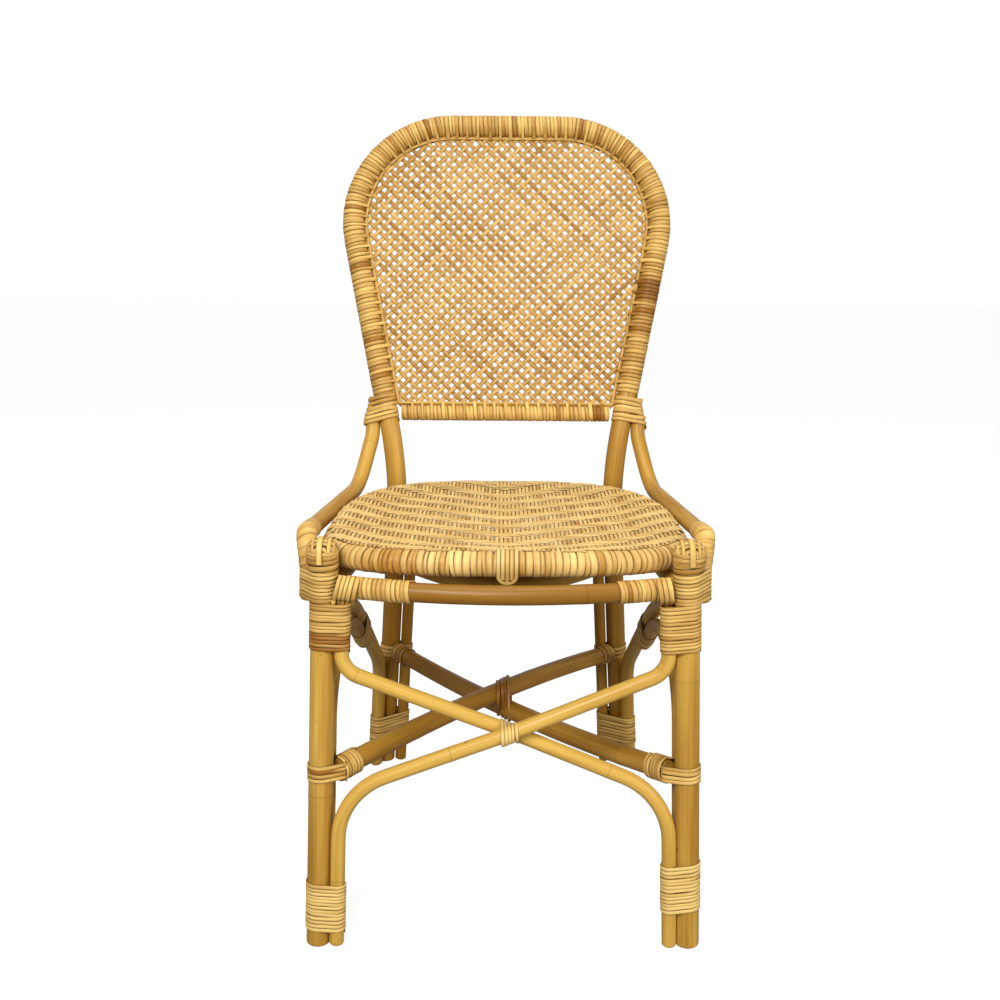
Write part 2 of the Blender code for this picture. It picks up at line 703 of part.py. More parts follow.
def arch_drop():
    """From the side brace's falling run to the end of the side arch that is lashed under it."""
    apart = (SIDE_BRACE_D + SIDE_ARCH_D) / 2 + 2 * SEAT
    _, crown, low, _ = side_brace_corners()
    run = (low - crown).normalized()
    return Vector((0, run.z, -run.y)).normalized() * apart


def side_arch_path():
    beside = arch_offset()
    foot = front_leg_at(BRACE_FOOT_LIFT) + beside
    corner = front_leg_at(ARCH_CORNER_Z) + beside
    crown, end = side_fall(ARCH_CROWN_Y) + arch_drop(), side_fall(ARCH_END_Y) + arch_drop()
    return bent([foot, corner, crown, end], [ARCH_BEND, ARCH_CROWN_BEND])


def side_rail_ends():
    front = front_leg_at(SIDE_RAIL_Z) + Vector((-SIDE_RAIL_IN, LASHED_R + ARM_R / 2 + 3 * SEAT, 0))
    rear = rear_leg_at(SIDE_RAIL_Z) - Vector((0, LEG_R / math.cos(LEAN) + 3 * SEAT, 0))
    return [front, rear]


def make_side_frames():
    for side, word in ((-1, "left"), (1, "right")):
        path = bent(side_brace_corners(), [SIDE_CROWN_BEND, SIDE_LOW_BEND])
        pole(f"side_brace_{word}", mirrored(path, side), SIDE_BRACE_D)
        pole(f"side_arch_{word}", mirrored(side_arch_path(), side), SIDE_ARCH_D)
        pole(f"side_rail_{word}", mirrored(side_rail_ends(), side), SIDE_RAIL_D)
        start, end = mirrored([side_fall(y) for y in SIDE_LASH], side)
        circles = [(0, 0, SIDE_BRACE_D / 2), (0, arch_drop().length, SIDE_ARCH_D / 2)]
        lashing(f"side_lashing_{word}", start, end, circles)


def rear_arch_offset():
    return Vector((-(LEG_R + REAR_ARCH_D / 2 + 3 * SEAT), 0, 0))


def make_under_seat():
    beside = rear_arch_offset()
    foot = rear_leg_at(BRACE_FOOT_LIFT) + beside
    knee = rear_leg_at(REAR_ARCH_Z - REAR_ARCH_KNEE_DROP) + beside
    corner = Vector(((rear_leg_at(REAR_ARCH_Z) + beside).x, REAR_ARCH_Y, REAR_ARCH_Z))
    half = [foot, knee, corner]
    corners = mirrored(half, -1) + half[::-1]
    bends = [REAR_ARCH_KNEE_BEND, REAR_ARCH_BEND, REAR_ARCH_BEND, REAR_ARCH_KNEE_BEND]
    pole("rear_arch", bent(corners, bends), REAR_ARCH_D)

    slant = math.atan2(4 * FRONT_RAIL_BOW, 2 * FRONT_TOP_HALF)
    clear = LASHED_R + RAIL_R * math.sin(slant) / 2 + SEAT
    end = front_leg_at(FRONT_RAIL_Z) - Vector((clear, 0, 0))
    start = Vector((-end.x, end.y, end.z))
    path = bowed(start, end, Vector((0, -FRONT_RAIL_BOW, 0)), RAIL_STEPS)
    pole("front_rail", path, RAIL_D)
    covered = round(RAIL_STEPS * (1 - RAIL_WRAP_SHARE) / 2)
    sleeve("front_rail_wrap_left", path, RAIL_D, 0, covered + 1)
    sleeve("front_rail_wrap_right", path, RAIL_D, RAIL_STEPS - covered - 1, RAIL_STEPS)

    front, rear = side_rail_ends()
    rail = front.lerp(rear, (SEAT_BOW_Y - front.y) / (rear.y - front.y))
    toward = Vector((rail.x, 0, 2 * SEAT_BOW_SAG)).normalized()
    end = rail - toward * (SIDE_RAIL_D / 2 + 2 * SEAT)
    start = Vector((-end.x, end.y, end.z))
    bow = bowed(start, end, Vector((0, 0, -SEAT_BOW_SAG)), RAIL_STEPS)
    pole("seat_bow", bow, SEAT_BOW_D)


def seat_loop(inset, count=RING_POINTS):
    """The seat's rounded-square outline, drawn in by inset, as evenly spaced points.

    |x / a|^n + |y / b|^n = 1 from its widest line, shorter and squarer before that line than behind it,
    read at fine angles and then spaced evenly along its length.
    """
    angle = np.linspace(0, 2 * math.pi, 2 * FINE_ANGLES + 1)
    ahead = np.sin(angle) < 0
    a = SEAT_HALF - inset
    b = np.where(ahead, SEAT_WIDEST, SEAT_DEPTH - SEAT_WIDEST) - inset
    power = 2 / np.where(ahead, FRONT_SQUARENESS, REAR_SQUARENESS)
    x = a * np.sign(np.cos(angle)) * np.abs(np.cos(angle)) ** power
    y = SEAT_WIDEST - SEAT_DEPTH / 2 + b * np.sign(np.sin(angle)) * np.abs(np.sin(angle)) ** power
    run = np.concatenate([[0], np.hypot(np.diff(x), np.diff(y)).cumsum()])
    even = np.arange(count) * run[-1] / count
    return [Vector(p) for p in zip(np.interp(even, run, x), np.interp(even, run, y), [0] * count)]


def seat_place():
    """The seat's own plane: its centre at ring height, falling slightly to the back."""
    middle = Vector((0, (SEAT_BACK_Y + SEAT_FRONT_Y) / 2, 0))
    fall = math.tan(SEAT_FALL) * (middle.y - SEAT_FRONT_Y)
    place = Matrix.Translation(middle + Vector((0, 0, SEAT_RING_Z - fall)))
    return place @ Matrix.Rotation(-SEAT_FALL, 4, "X")


def rim_section():
    """The rim's wrapping cut across: a C round the seat ring, open towards the seat's middle."""
    inner = SEAT_RING_D / 2 / math.cos(math.pi / POLE_SIDES) + SEAT
    first, last = RIM_OPENING, 2 * math.pi - RIM_OPENING
    out_angles = np.linspace(first, last, RIM_STEPS)
    in_angles = out_angles[::-1]
    points = [(RIM_R * math.cos(t + math.pi), RIM_R * math.sin(t + math.pi), 0) for t in out_angles]
    points += [(inner * math.cos(t + math.pi), inner * math.sin(t + math.pi), 0) for t in in_angles]
    return helper(curve("rim_section", points[::-1], cyclic=True, flat=True))


def make_seat():
    loop = seat_loop(RIM_R)
    ring = pole("seat_ring", loop, SEAT_RING_D, cyclic=True)
    ring.matrix_local = seat_place()

    wrap = curve("seat_rim_wrap", loop, cyclic=True)
    wrap.data.bevel_mode = "OBJECT"
    wrap.data.bevel_object = rim_section()
    wrap.data.twist_mode = "Z_UP"
    keep(wrap, MATERIALS["weave"])
    wrap.matrix_local = seat_place()

    weave = keep(bpy.data.objects.new("seat_weave", seat_sheet()), MATERIALS["weave"])
    weave.matrix_local = seat_place()

    clear = RIM_R + SEAT_RING_D / 2 + SEAT
    start = Vector((0, SEAT_FRONT_Y + clear, 0))
    end = Vector((0, SEAT_BACK_Y - clear, 0))
    drop = Vector((0, 0, SEAT_RING_Z - SEAT_SPINE_DROP))
    fall = Vector((0, 0, -math.tan(SEAT_FALL) * (end.y - start.y)))
    pole("seat_spine", [start + drop, end + drop + fall], SEAT_SPINE_D)


def seat_sheet():
    """The woven sheet: a shallow dish inside the rim, as a mesh of rings about the seat's middle."""
    edge_top = RIM_R - SEAT_SHEET_T / 2
    edge_inset = RIM_R + RIM_R * math.cos(RIM_OPENING) + 2 * SEAT
    shape = bmesh.new()
    rings = []
    for lift in (SEAT_SHEET_T / 2, -SEAT_SHEET_T / 2):
        for share in SHEET_SHARES:
            dip = SEAT_DISH * (1 - share**2)
            outline = seat_loop(edge_inset)
            rings.append(
                [shape.verts.new((p.x * share, p.y * share, edge_top - dip + lift)) for p in outline]
            )
    top, bottom = rings[: len(SHEET_SHARES)], rings[len(SHEET_SHARES) :]
    for outer, inner in zip(top, top[1:]):
        bridge(shape, outer, inner)
    for outer, inner in zip(bottom, bottom[1:]):
        bridge(shape, inner, outer)
    bridge(shape, bottom[0], top[0])
    for ring, lift, order in ((top[-1], SEAT_SHEET_T / 2, 1), (bottom[-1], -SEAT_SHEET_T / 2, -1)):
        middle = shape.verts.new((0, 0, edge_top - SEAT_DISH + lift))
        for a, b in zip(ring, ring[1:] + ring[:1]):
            shape.faces.new((a, b, middle)[::order])
    mesh = bpy.data.meshes.new("seat_weave")
    shape.to_mesh(mesh)
    shape.free()
    return mesh


def bridge(shape, outer, inner):
    """A band of faces between two rings of as many points."""
    for a, b, c, d in zip(outer, outer[1:] + outer[:1], inner[1:] + inner[:1], inner):
        shape.faces.new((a, b, c, d))


def stretcher_ends(side):
    """The two ends of the stretcher that starts at a front leg and crosses to the other rear leg."""
    front = front_leg_at(STRETCHER_FRONT_Z)
    rear = rear_leg_at(STRETCHER_REAR_Z)
    front, rear = Vector((side * front.x, front.y, front.z)), Vector((-side * rear.x, rear.y, rear.z))
    along = (rear - front).normalized()
    aside = Vector((along.y, -along.x, 0)).normalized() * (STRETCHER_ASIDE * -side)
    clear = LASHED_R + 2 * SEAT
    return front + aside + along * clear, rear - along * (clear + REAR_ARCH_D)


def make_stretchers():
    rise = Vector((0, 0, STRETCHER_RISE))
    for side, word, lift in ((-1, "left", rise), (1, "right", -rise)):
        start, end = stretcher_ends(side)
        path = bowed(start, end, lift, STRETCHER_STEPS)
        pole(f"stretcher_from_{word}", path, STRETCHER_D)
        for place, near, away in (("front", path[0], path[1]), ("rear", path[-1], path[-2])):
            run = (away - near).normalized()
            first = near + run * JOINT_START
            lashing(
                f"joint_lashing_{place}_{word if place == 'front' else other(word)}",
                first, first + run * JOINT_LASH, [(0, 0, STRETCHER_R)],
            )

    along = (stretcher_ends(-1)[1] - stretcher_ends(-1)[0]).normalized()
    turn = math.atan2(along.x, along.y)
    half = Vector((0, STRETCHER_LASH / 2, 0))
    spread = math.tan(turn) * (STRETCHER_LASH - PEEL_W) / 2
    wide = STRETCHER_R / math.cos(turn) + spread - STRETCHER_R
    start, end = stretcher_ends(-1)
    spot = start.lerp(end, -start.x / (end.x - start.x))
    circles = [(x, y, STRETCHER_R) for x in (-wide, wide) for y in (-STRETCHER_RISE, STRETCHER_RISE)]
    lashing("stretcher_cross_lashing", spot - half, spot + half, circles)


def other(word):
    return {"left": "right", "right": "left"}[word]


def make_lashings():
    brace, arch = brace_offset(), arch_offset()
    side_brace, rear = side_brace_offset(), rear_arch_offset()
    tuck = arm_tuck(0) - front_leg_at(0)
    arm_beside = (LEG_R + ARM_R + 3 * SEAT) / math.cos(LEAN)
    bundles = (
        ("front_foot_lashing", FRONT_FOOT_LASH, front_leg_at,
         [(brace.x, brace.y, BRACE_R), (arch.x, arch.y, SIDE_ARCH_D / 2)]),
        ("rear_foot_lashing", REAR_FOOT_LASH, rear_leg_at,
         [(side_brace.x, side_brace.y, SIDE_BRACE_D / 2), (rear.x, rear.y, REAR_ARCH_D / 2)]),
        ("post_lashing", POST_LASH, front_leg_at,
         [(brace.x, brace.y, BRACE_R)]),
        ("post_wrap", POST_WRAP, front_leg_at, [(tuck.x, tuck.y, ARM_R)]),
        ("waist_lashing", WAIST_LASH, back_at, [(arm_beside, 0, ARM_R)]),
        ("front_joint_band", FRONT_BAND, front_leg_at, []),
        ("rear_joint_band", REAR_BAND, rear_leg_at, [(rear.x, rear.y, REAR_ARCH_D / 2)]),
    )
    for side, word in ((-1, "left"), (1, "right")):
        for name, (low, high), at, beside in bundles:
            start, end = mirrored([at(low), at(high)], side)
            circles = [(0, 0, LEG_R)] + [(side * x, y, r) for x, y, r in beside]
            lashing(f"{name}_{word}", start, end, circles)


clear_scene()
CHAIR = collection("rattan_dining_chair")
CUTTERS = collection("cutters")
CENTRE = bpy.data.objects.new("chair_centre", None)
CHAIR.objects.link(CENTRE)
CENTRE.location.y = -DEPTH_CENTRE
MATERIALS = {
    "pole": material("rattan_pole", POLE_TAN, 0.42),
    "peel": material("rattan_peel", PEEL_TAN, 0.48),
    "pale": material("pale_peel", PEEL_PALE, 0.5),
    "weave": material("woven_peel", WEAVE_TAN, 0.52),
}
PEEL_SECTION = peel_section()
make_back_frame()
make_back_weave()
make_arms()
make_front_legs()
make_front_braces()
make_side_frames()
make_under_seat()
make_seat()
make_stretchers()
make_lashings()
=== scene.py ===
"""Rattan dining chair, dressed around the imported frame.

Smooth poles, real windings of split peel, an over-and-under woven back and a twill woven seat.
Chair measures are in metres: x to the viewer's right, y from the front legs to the back, z up.
"""

import math

import bpy
import numpy as np
from mathutils import Matrix, Vector


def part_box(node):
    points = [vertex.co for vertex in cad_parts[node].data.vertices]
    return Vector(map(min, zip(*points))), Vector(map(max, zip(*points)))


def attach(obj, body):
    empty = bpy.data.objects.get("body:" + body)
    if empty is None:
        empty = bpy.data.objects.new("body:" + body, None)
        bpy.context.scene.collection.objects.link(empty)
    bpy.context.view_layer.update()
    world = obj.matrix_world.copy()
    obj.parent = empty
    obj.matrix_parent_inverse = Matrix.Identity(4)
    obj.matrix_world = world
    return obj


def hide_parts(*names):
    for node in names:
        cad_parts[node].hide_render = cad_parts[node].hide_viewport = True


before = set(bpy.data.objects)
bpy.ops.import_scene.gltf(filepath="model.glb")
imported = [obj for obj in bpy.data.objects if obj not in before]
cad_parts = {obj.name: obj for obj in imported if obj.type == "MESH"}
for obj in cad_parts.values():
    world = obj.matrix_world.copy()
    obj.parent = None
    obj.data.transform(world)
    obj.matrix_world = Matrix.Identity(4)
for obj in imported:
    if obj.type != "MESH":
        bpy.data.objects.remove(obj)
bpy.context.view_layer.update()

FRONT_Y = sum(corner.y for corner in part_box("front_leg_left")) / 2

# Poles: outer diameters
LEG_D = 0.027
ARM_D = 0.020
RAIL_D = 0.0208
BACK_RAIL_D = 0.018
SIDE_RAIL_D = 0.020
BRACE_D = 0.016
SIDE_BRACE_D = 0.019
SIDE_ARCH_D = 0.017
REAR_ARCH_D = 0.016
STRETCHER_D = 0.023
SEAT_RING_D = 0.023
SEAT_BOW_D = 0.020
SEAT_SPINE_D = 0.018

# Seating gap, and the peel in the frame that the poles were set by
SEAT = 0.0003
FOOT_STUB = 0.006
FRAME_PEEL_T = 0.0017
FRAME_LASHED_R = (LEG_D / 2 + SEAT + 0.0001 + FRAME_PEEL_T / 2) / math.cos(math.pi / 9) + FRAME_PEEL_T / 2

# Back frame
REAR_FOOT = (0.176, 0.479, 0)
WAIST = (0.148, 0.412, 0.450)
SHOULDER = (0.249, 0.526, 0.9335)
WAIST_BEND, SHOULDER_BEND = 0.300, 0.140
BACK_RAIL_Z, WRAP_START_Z = 0.5325, 0.5570

# Front legs and arms
FRONT_FOOT_HALF, FRONT_TOP_HALF, LEG_TOP_Z = 0.2044, 0.1920, 0.4515
ARM_TOP_Z, ARM_LEAVE_Z, ARM_FOOT_Z, ARM_TUCK_Z = 0.554, 0.505, 0.388, 0.419
ARM_LAND = (0.2005, 0.385, 0.4365)
ARM_TURN = (0.2235, 0.130, 0.4405)
ELBOW = (0.2160, 0.0300, 0.4575)
ARM_BEND, ELBOW_BEND, ARM_TUCK_BEND = 0.060, 0.018, 0.030
ARM_TUCK_ANGLE = math.radians(45)
ELBOW_WRAP_Y = 0.112
ARM_TIP, ARM_TIP_SHARE = 0.034, 0.35

# Seat
SEAT_HALF, SEAT_FRONT_Y, SEAT_WIDEST_Y, SEAT_BACK_Y = 0.2085, -0.0185, 0.135, 0.4145
FRONT_SQUARENESS, REAR_SQUARENESS = 3.6, 3.0
SEAT_RING_Z, SEAT_FALL, SEAT_DISH = 0.4342, math.radians(0.95), 0.006
SEAT_SKIN_T = 0.0025

# Rails, arch and bow
FRONT_RAIL_Z, FRONT_RAIL_BOW = 0.4068, 0.030
SIDE_RAIL_IN, SIDE_RAIL_Z = 0.008, 0.4040
REAR_ARCH_Z, REAR_ARCH_Y, REAR_ARCH_KNEE_Z, REAR_ARCH_BEND = 0.4043, 0.4020, 0.330, 0.045
SEAT_BOW_Y, SEAT_BOW_SAG = 0.200, 0.0475

# Braces, arches and stretchers
BRACE_TOP_Z, BRACE_HIGH_CORNER_Z, BRACE_LOW_CORNER_Z = 0.388, 0.317, 0.178
BRACE_HIGH_BEND, BRACE_CROSS_BEND, BRACE_LOW_BEND = 0.028, 0.300, 0.080
BRACE_FORWARD, BRACE_FOOT_LIFT = 0.0077, 0.002
SIDE_TOP_Z, SIDE_LOW_Z, SIDE_FOOT_OUT = 0.382, 0.165, 0.0127
SIDE_CROWN_Y, SIDE_CROWN_Z, SIDE_CROWN_BEND, SIDE_LOW_BEND = 0.200, 0.327, 0.300, 0.090
ARCH_IN, ARCH_CORNER_Z, ARCH_BEND = 0.0045, 0.297, 0.060
ARCH_CROWN_Y, ARCH_CROWN_BEND, ARCH_END_Y = 0.185, 0.165, 0.290
STRETCHER_FRONT_Z, STRETCHER_REAR_Z, STRETCHER_RISE, STRETCHER_ASIDE = 0.200, 0.181, 0.0120, 0.0105

# How far short of the rear lashing a stretcher ends, and how round the front leg's band bends over its end
STRETCHER_SHORT, END_CORNER_R = 0.005, 0.004

# Lashings up the legs and the back: the heights between which each is wound, left (-1) and right (1)
FRONT_FOOT_LASH = {-1: (0.0164, 0.0752), 1: (0.0404, 0.0992)}
REAR_FOOT_LASH = (0.0400, 0.0860)
POST_LASH, POST_WRAP, WAIST_LASH = (0.3370, 0.3925), (0.3880, 0.4255), (0.5180, 0.5575)
FRONT_BAND, REAR_BAND = (0.1880, 0.2120), (0.1710, 0.1930)

# Other lashings: the side ones' depths, the crossing ones' width and shift, and those at the stretchers'
# ends. The line that a winding follows runs CROSS_REACH either way from a crossing, and SPARE past the ends
# of a lashing on a leg.
SIDE_LASH = (0.2450, 0.2780)
CROSS_LASH, CROSS_ASIDE, CROSS_REACH = 0.0230, 0.0055, 0.02
JOINT_START, JOINT_LASH, JOINT_TUCK, OVER_BAND = 0.0004, 0.0270, 0.0040, 0.0012
RAIL_WRAP_LEFT, RAIL_WRAP_RIGHT = 0.083, 0.062
SPARE = 0.01

# Peel strips: width, thickness and turn spacing of the usual winding, and how unevenly its turns lie
PEEL_W, PEEL_T, PEEL_PITCH = 0.0044, 0.0013, 0.0045
WANDER, TILT, LIFT, TURN_STEPS = 0.00013, 0.00016, 0.00022, 26

# The nodes of a pole: a swelling by a share of its radius, and a fine groove
SWELL, SWELL_WIDE, GROOVE, GROOVE_WIDE = 0.018, 0.007, 0.00014, 0.0006

# Woven back: spacing, width, thickness and rise of its strands, the cane behind their ends, the flat
# strands along its edge, and how many strands and points it takes
BACK_CELL, BACK_STRAND_W, BACK_STRAND_T, BACK_RISE = 0.0107, 0.0058, 0.0016, 0.00095
EDGE_CANE_OFF, EDGE_CANE_R = 0.0042, 0.0025
EDGE_IN, EDGE_OUT, EDGE_W, EDGE_T, EDGE_POINTS = 0.0052, 0.0023, 0.0034, 0.0011, 320
BACK_STRANDS, BACK_POINTS = 34, 6.5

# Woven seat: spacing of the strips that run to the back and of those that run across, and their floats
WARP_PITCH, WEFT_PITCH, SEAT_STRIP_T, SEAT_RISE = 0.0050, 0.0058, 0.0011, 0.00100
TWILL, TWILL_STEP = 8, 2

# The seat's rim: its strips, how far up they reach in front and at the sides, and its dark places by
# place, width and depth of tone
RIM_R = SEAT_RING_D / 2 + SEAT + SEAT_SKIN_T
RIM_STRIP_T, RIM_TOP_FRONT, RIM_TOP_SIDE = 0.0009, math.radians(84), math.radians(48)
RIM_STRIP_LEAST, RIM_STRIP_MOST, RIM_UNDER, RIM_CLEAR = 0.0036, 0.0084, -122, 0.0014
RIM_STAINS = ((-0.125, 0.035, 0.45), (0.0145, 0.003, 1.0), (0.096, 0.003, 0.7))

# The tongue in the middle of the rim: half its width, its round end, how far it hangs straight, and the
# circle that it bends round
TONGUE_HALF, TONGUE_ROUND, TONGUE_HANG, TONGUE_R = 0.0094, 0.0090, 0.0052, 0.0152

# Woven knobs on the front posts. Strips over them: sideways ones by depth, front-to-back ones by place,
# width and lift, and rings below by height, radius and tone
KNOB_R, KNOB_TALL, KNOB_FOOT_Z, KNOB_BAND_Z, KNOB_OUT = 0.0168, 0.0150, 0.4430, 0.4215, 0.0020
KNOB_SHELL, KNOB_POINTS = 0.0012, 20
KNOB_SIDEWAYS = (-0.0148, -0.0108, -0.0062, -0.0014, 0.0036, 0.0084)
KNOB_LENGTHWISE = (
    (-0.0126, 0.0038, 0.0006), (-0.0080, 0.0042, 0.0009), (0.0080, 0.0042, 0.0009), (0.0126, 0.0038, 0.0006),
)
KNOB_RINGS = ((0.0022, 0.0164, 0.3), (-0.0026, 0.0158, 0.45), (-0.0074, 0.0160, 0.75))

# Strips over the corner of each post and the front rail: top (x, z), bottom (x, z), width, tone
CORNER_SLANTS = {
    -1: (
        ((-0.1745, 0.4190), (-0.1830, 0.3870), 0.0046, 0.10),
        ((-0.1700, 0.4188), (-0.1782, 0.3870), 0.0044, 0.25),
        ((-0.1655, 0.4186), (-0.1736, 0.3870), 0.0042, 0.15),
        ((-0.1608, 0.4184), (-0.1685, 0.3872), 0.0052, 0.20),
        ((-0.1556, 0.4182), (-0.1620, 0.3885), 0.0050, 0.40),
    ),
    1: (
        ((0.1716, 0.4190), (0.1766, 0.3900), 0.0056, 0.10),
        ((0.1660, 0.4188), (0.1712, 0.3900), 0.0052, 0.30),
        ((0.1606, 0.4186), (0.1655, 0.3905), 0.0050, 0.45),
    ),
}
CORNER_SOFT, CORNER_DIVE = 0.0022, 0.0036

# Camera, as fitted to the photo: place, angles in degrees, lens and frame in pixels, sensor in millimetres,
# and the shift of the frame
CAMERA_BACK, CAMERA_Z, CAMERA_PIVOT_Y = 1.2354, 0.7682, 0.22
CAMERA_TILT, CAMERA_TURN, CAMERA_ROLL = 8.4561, 0.2828, -0.4785
LENS_PX, FRAME_PX, SENSOR = 1200.1, 1000, 36
CAMERA_SHIFT = (-0.0061, -0.0781)

# Stage: the floor's size, height, grey and added white, the world's fill, and each lamp's place, size
# and power
FLOOR_REACH, FLOOR_Z, FLOOR_GREY, FLOOR_WHITE = 14.0, -0.0005, 0.26, 0.86
WORLD_FILL, MIRRORED_WHITE = 0.30, 0.6
LAMP_AIM = (0, 0, 0.45)
LAMPS = (
    ("front_softbox", (-0.7, -2.5, 2.1), 1.5, 81),
    ("side_softbox", (2.1, -1.7, 1.2), 1.4, 30),
    ("top_softbox", (0.1, 0.1, 2.7), 1.6, 21),
)

LEG_R, ARM_R, RAIL_R, BRACE_R, STRETCHER_R = LEG_D / 2, ARM_D / 2, RAIL_D / 2, BRACE_D / 2, STRETCHER_D / 2

# Spacing of a centreline's points, and the sides of a round pole
STEP, SIDES = 0.004, 28
BOTH_SIDES = ((-1, "left"), (1, "right"))


def spot(x, y, z):
    """A world point from chair measures."""
    return np.array([x, FRONT_Y + y, z], float)


def unit(v):
    return v / np.linalg.norm(v, axis=-1, keepdims=True)


def lengths(line):
    """How far along a line each of its points lies."""
    return np.concatenate([[0], np.linalg.norm(np.diff(line, axis=0), axis=1).cumsum()])


def stacked(x, y, z):
    """Points from three coordinates, each spread over the others' shape."""
    return np.stack(np.broadcast_arrays(x, y, z), axis=-1)


def mirrored(points, side):
    """The same points on the left (-1) or the right (1)."""
    return np.asarray(points) * [side, 1, 1]


FRONT_FOOT = spot(FRONT_FOOT_HALF, 0, 0)
FRONT_SLOPE = np.array([(FRONT_TOP_HALF - FRONT_FOOT_HALF) / LEG_TOP_Z, 0, 1])
REAR_SLOPE = (spot(*WAIST) - spot(*REAR_FOOT)) / WAIST[2]
BACK_SLOPE = (spot(*SHOULDER) - spot(*WAIST)) / (SHOULDER[2] - WAIST[2])
LEAN, SPLAY = math.atan(BACK_SLOPE[1]), math.atan(BACK_SLOPE[0])


def front_leg_at(z):
    return FRONT_FOOT + FRONT_SLOPE * z


def rear_leg_at(z):
    return spot(*REAR_FOOT) + REAR_SLOPE * z


def back_at(z):
    """The side of the back frame above the waist, at height z."""
    return spot(*WAIST) + BACK_SLOPE * (z - WAIST[2])


def bent(corners, radii):
    """Straight runs between corners, with an arc of the given radius at each: M + out cos t + dir sin t."""
    path = [corners[0][None]]
    for before, corner, after, radius in zip(corners, corners[1:], corners[2:], radii):
        back, ahead = unit(before - corner), unit(after - corner)
        half = math.acos(back @ ahead) / 2
        middle = corner + unit(back + ahead) * radius / math.sin(half)
        out = corner + back * radius / math.tan(half) - middle
        turn = np.linspace(0, math.pi - 2 * half, 14)[:, None]
        path.append(middle + out * np.cos(turn) - back * radius * np.sin(turn))
    return np.vstack(path + [corners[-1][None]])


def bowed(start, end, middle, steps=24):
    """A parabola from start to end, its middle shifted by the vector middle: lerp + 4 s (1 - s) middle."""
    s = np.linspace(0, 1, steps + 1)[:, None]
    return start + (end - start) * s + 4 * s * (1 - s) * np.asarray(middle)


class Run:
    """A pole's centreline as even points, each with two square directions carried along without twist."""

    def __init__(self, path, out=(1, 0, 0), closed=False):
        path = np.asarray(path, float)
        if closed:
            path = np.vstack([path, path[:1]])
        gaps = np.linalg.norm(np.diff(path, axis=0), axis=1)
        path = path[np.concatenate([[True], gaps > 1e-7])]
        length = lengths(path)
        self.length, self.closed = length[-1], closed
        self.s = np.linspace(0, self.length, max(3, int(self.length / STEP) + 1))
        self.centre = np.stack([np.interp(self.s, length, path[:, k]) for k in range(3)], axis=1)
        ahead = unit(np.gradient(self.centre, axis=0))
        if closed:
            ahead[0] = ahead[-1] = unit(self.centre[1] - self.centre[-2])
        one = np.zeros_like(ahead)
        carried = np.asarray(out, float)
        for i, way in enumerate(ahead):
            carried = unit(carried - way * (carried @ way))
            one[i] = carried
        self.one, self.two = one, np.cross(ahead, one)

    def at(self, s):
        """Centre and the two square directions at any lengths s."""
        if self.closed:
            s = np.mod(s, self.length)
        centre, one, two = (
            np.stack([np.interp(s, self.s, table[:, k]) for k in range(3)], axis=-1)
            for table in (self.centre, self.one, self.two)
        )
        return centre, unit(one), unit(two)

    def near(self, point):
        """The length along the line at which it passes closest to a point."""
        return self.s[np.linalg.norm(self.centre - point, axis=1).argmin()]


def grid_faces(rows, columns, closed):
    """Corner numbers of the quads of a tube of rings, and of its two end caps where it is open."""
    i, j = np.meshgrid(np.arange(rows if closed else rows - 1), np.arange(columns), indexing="ij")
    here, after, beside = i * columns, (i + 1) % rows * columns, (j + 1) % columns
    quads = np.stack([here + j, here + beside, after + beside, after + j], -1)
    caps = [] if closed else [np.arange(columns)[::-1], (rows - 1) * columns + np.arange(columns)]
    return quads.reshape(-1, 4), caps


def volume(points, quads, caps):
    """Six times the signed volume: the sum of a . (b x c) over the triangles of every face."""
    a, b, c, d = (points[quads[:, k]] for k in range(4))
    total = (a * np.cross(b, c)).sum() + (a * np.cross(c, d)).sum()
    for cap in caps:
        fan = points[cap]
        total += (fan[0] * np.cross(fan[1:-1], fan[2:])).sum()
    return total


def placed(name, data):
    """A new object in the scene, from its mesh, camera or lamp."""
    made = bpy.data.objects.new(name, data)
    bpy.context.scene.collection.objects.link(made)
    return made


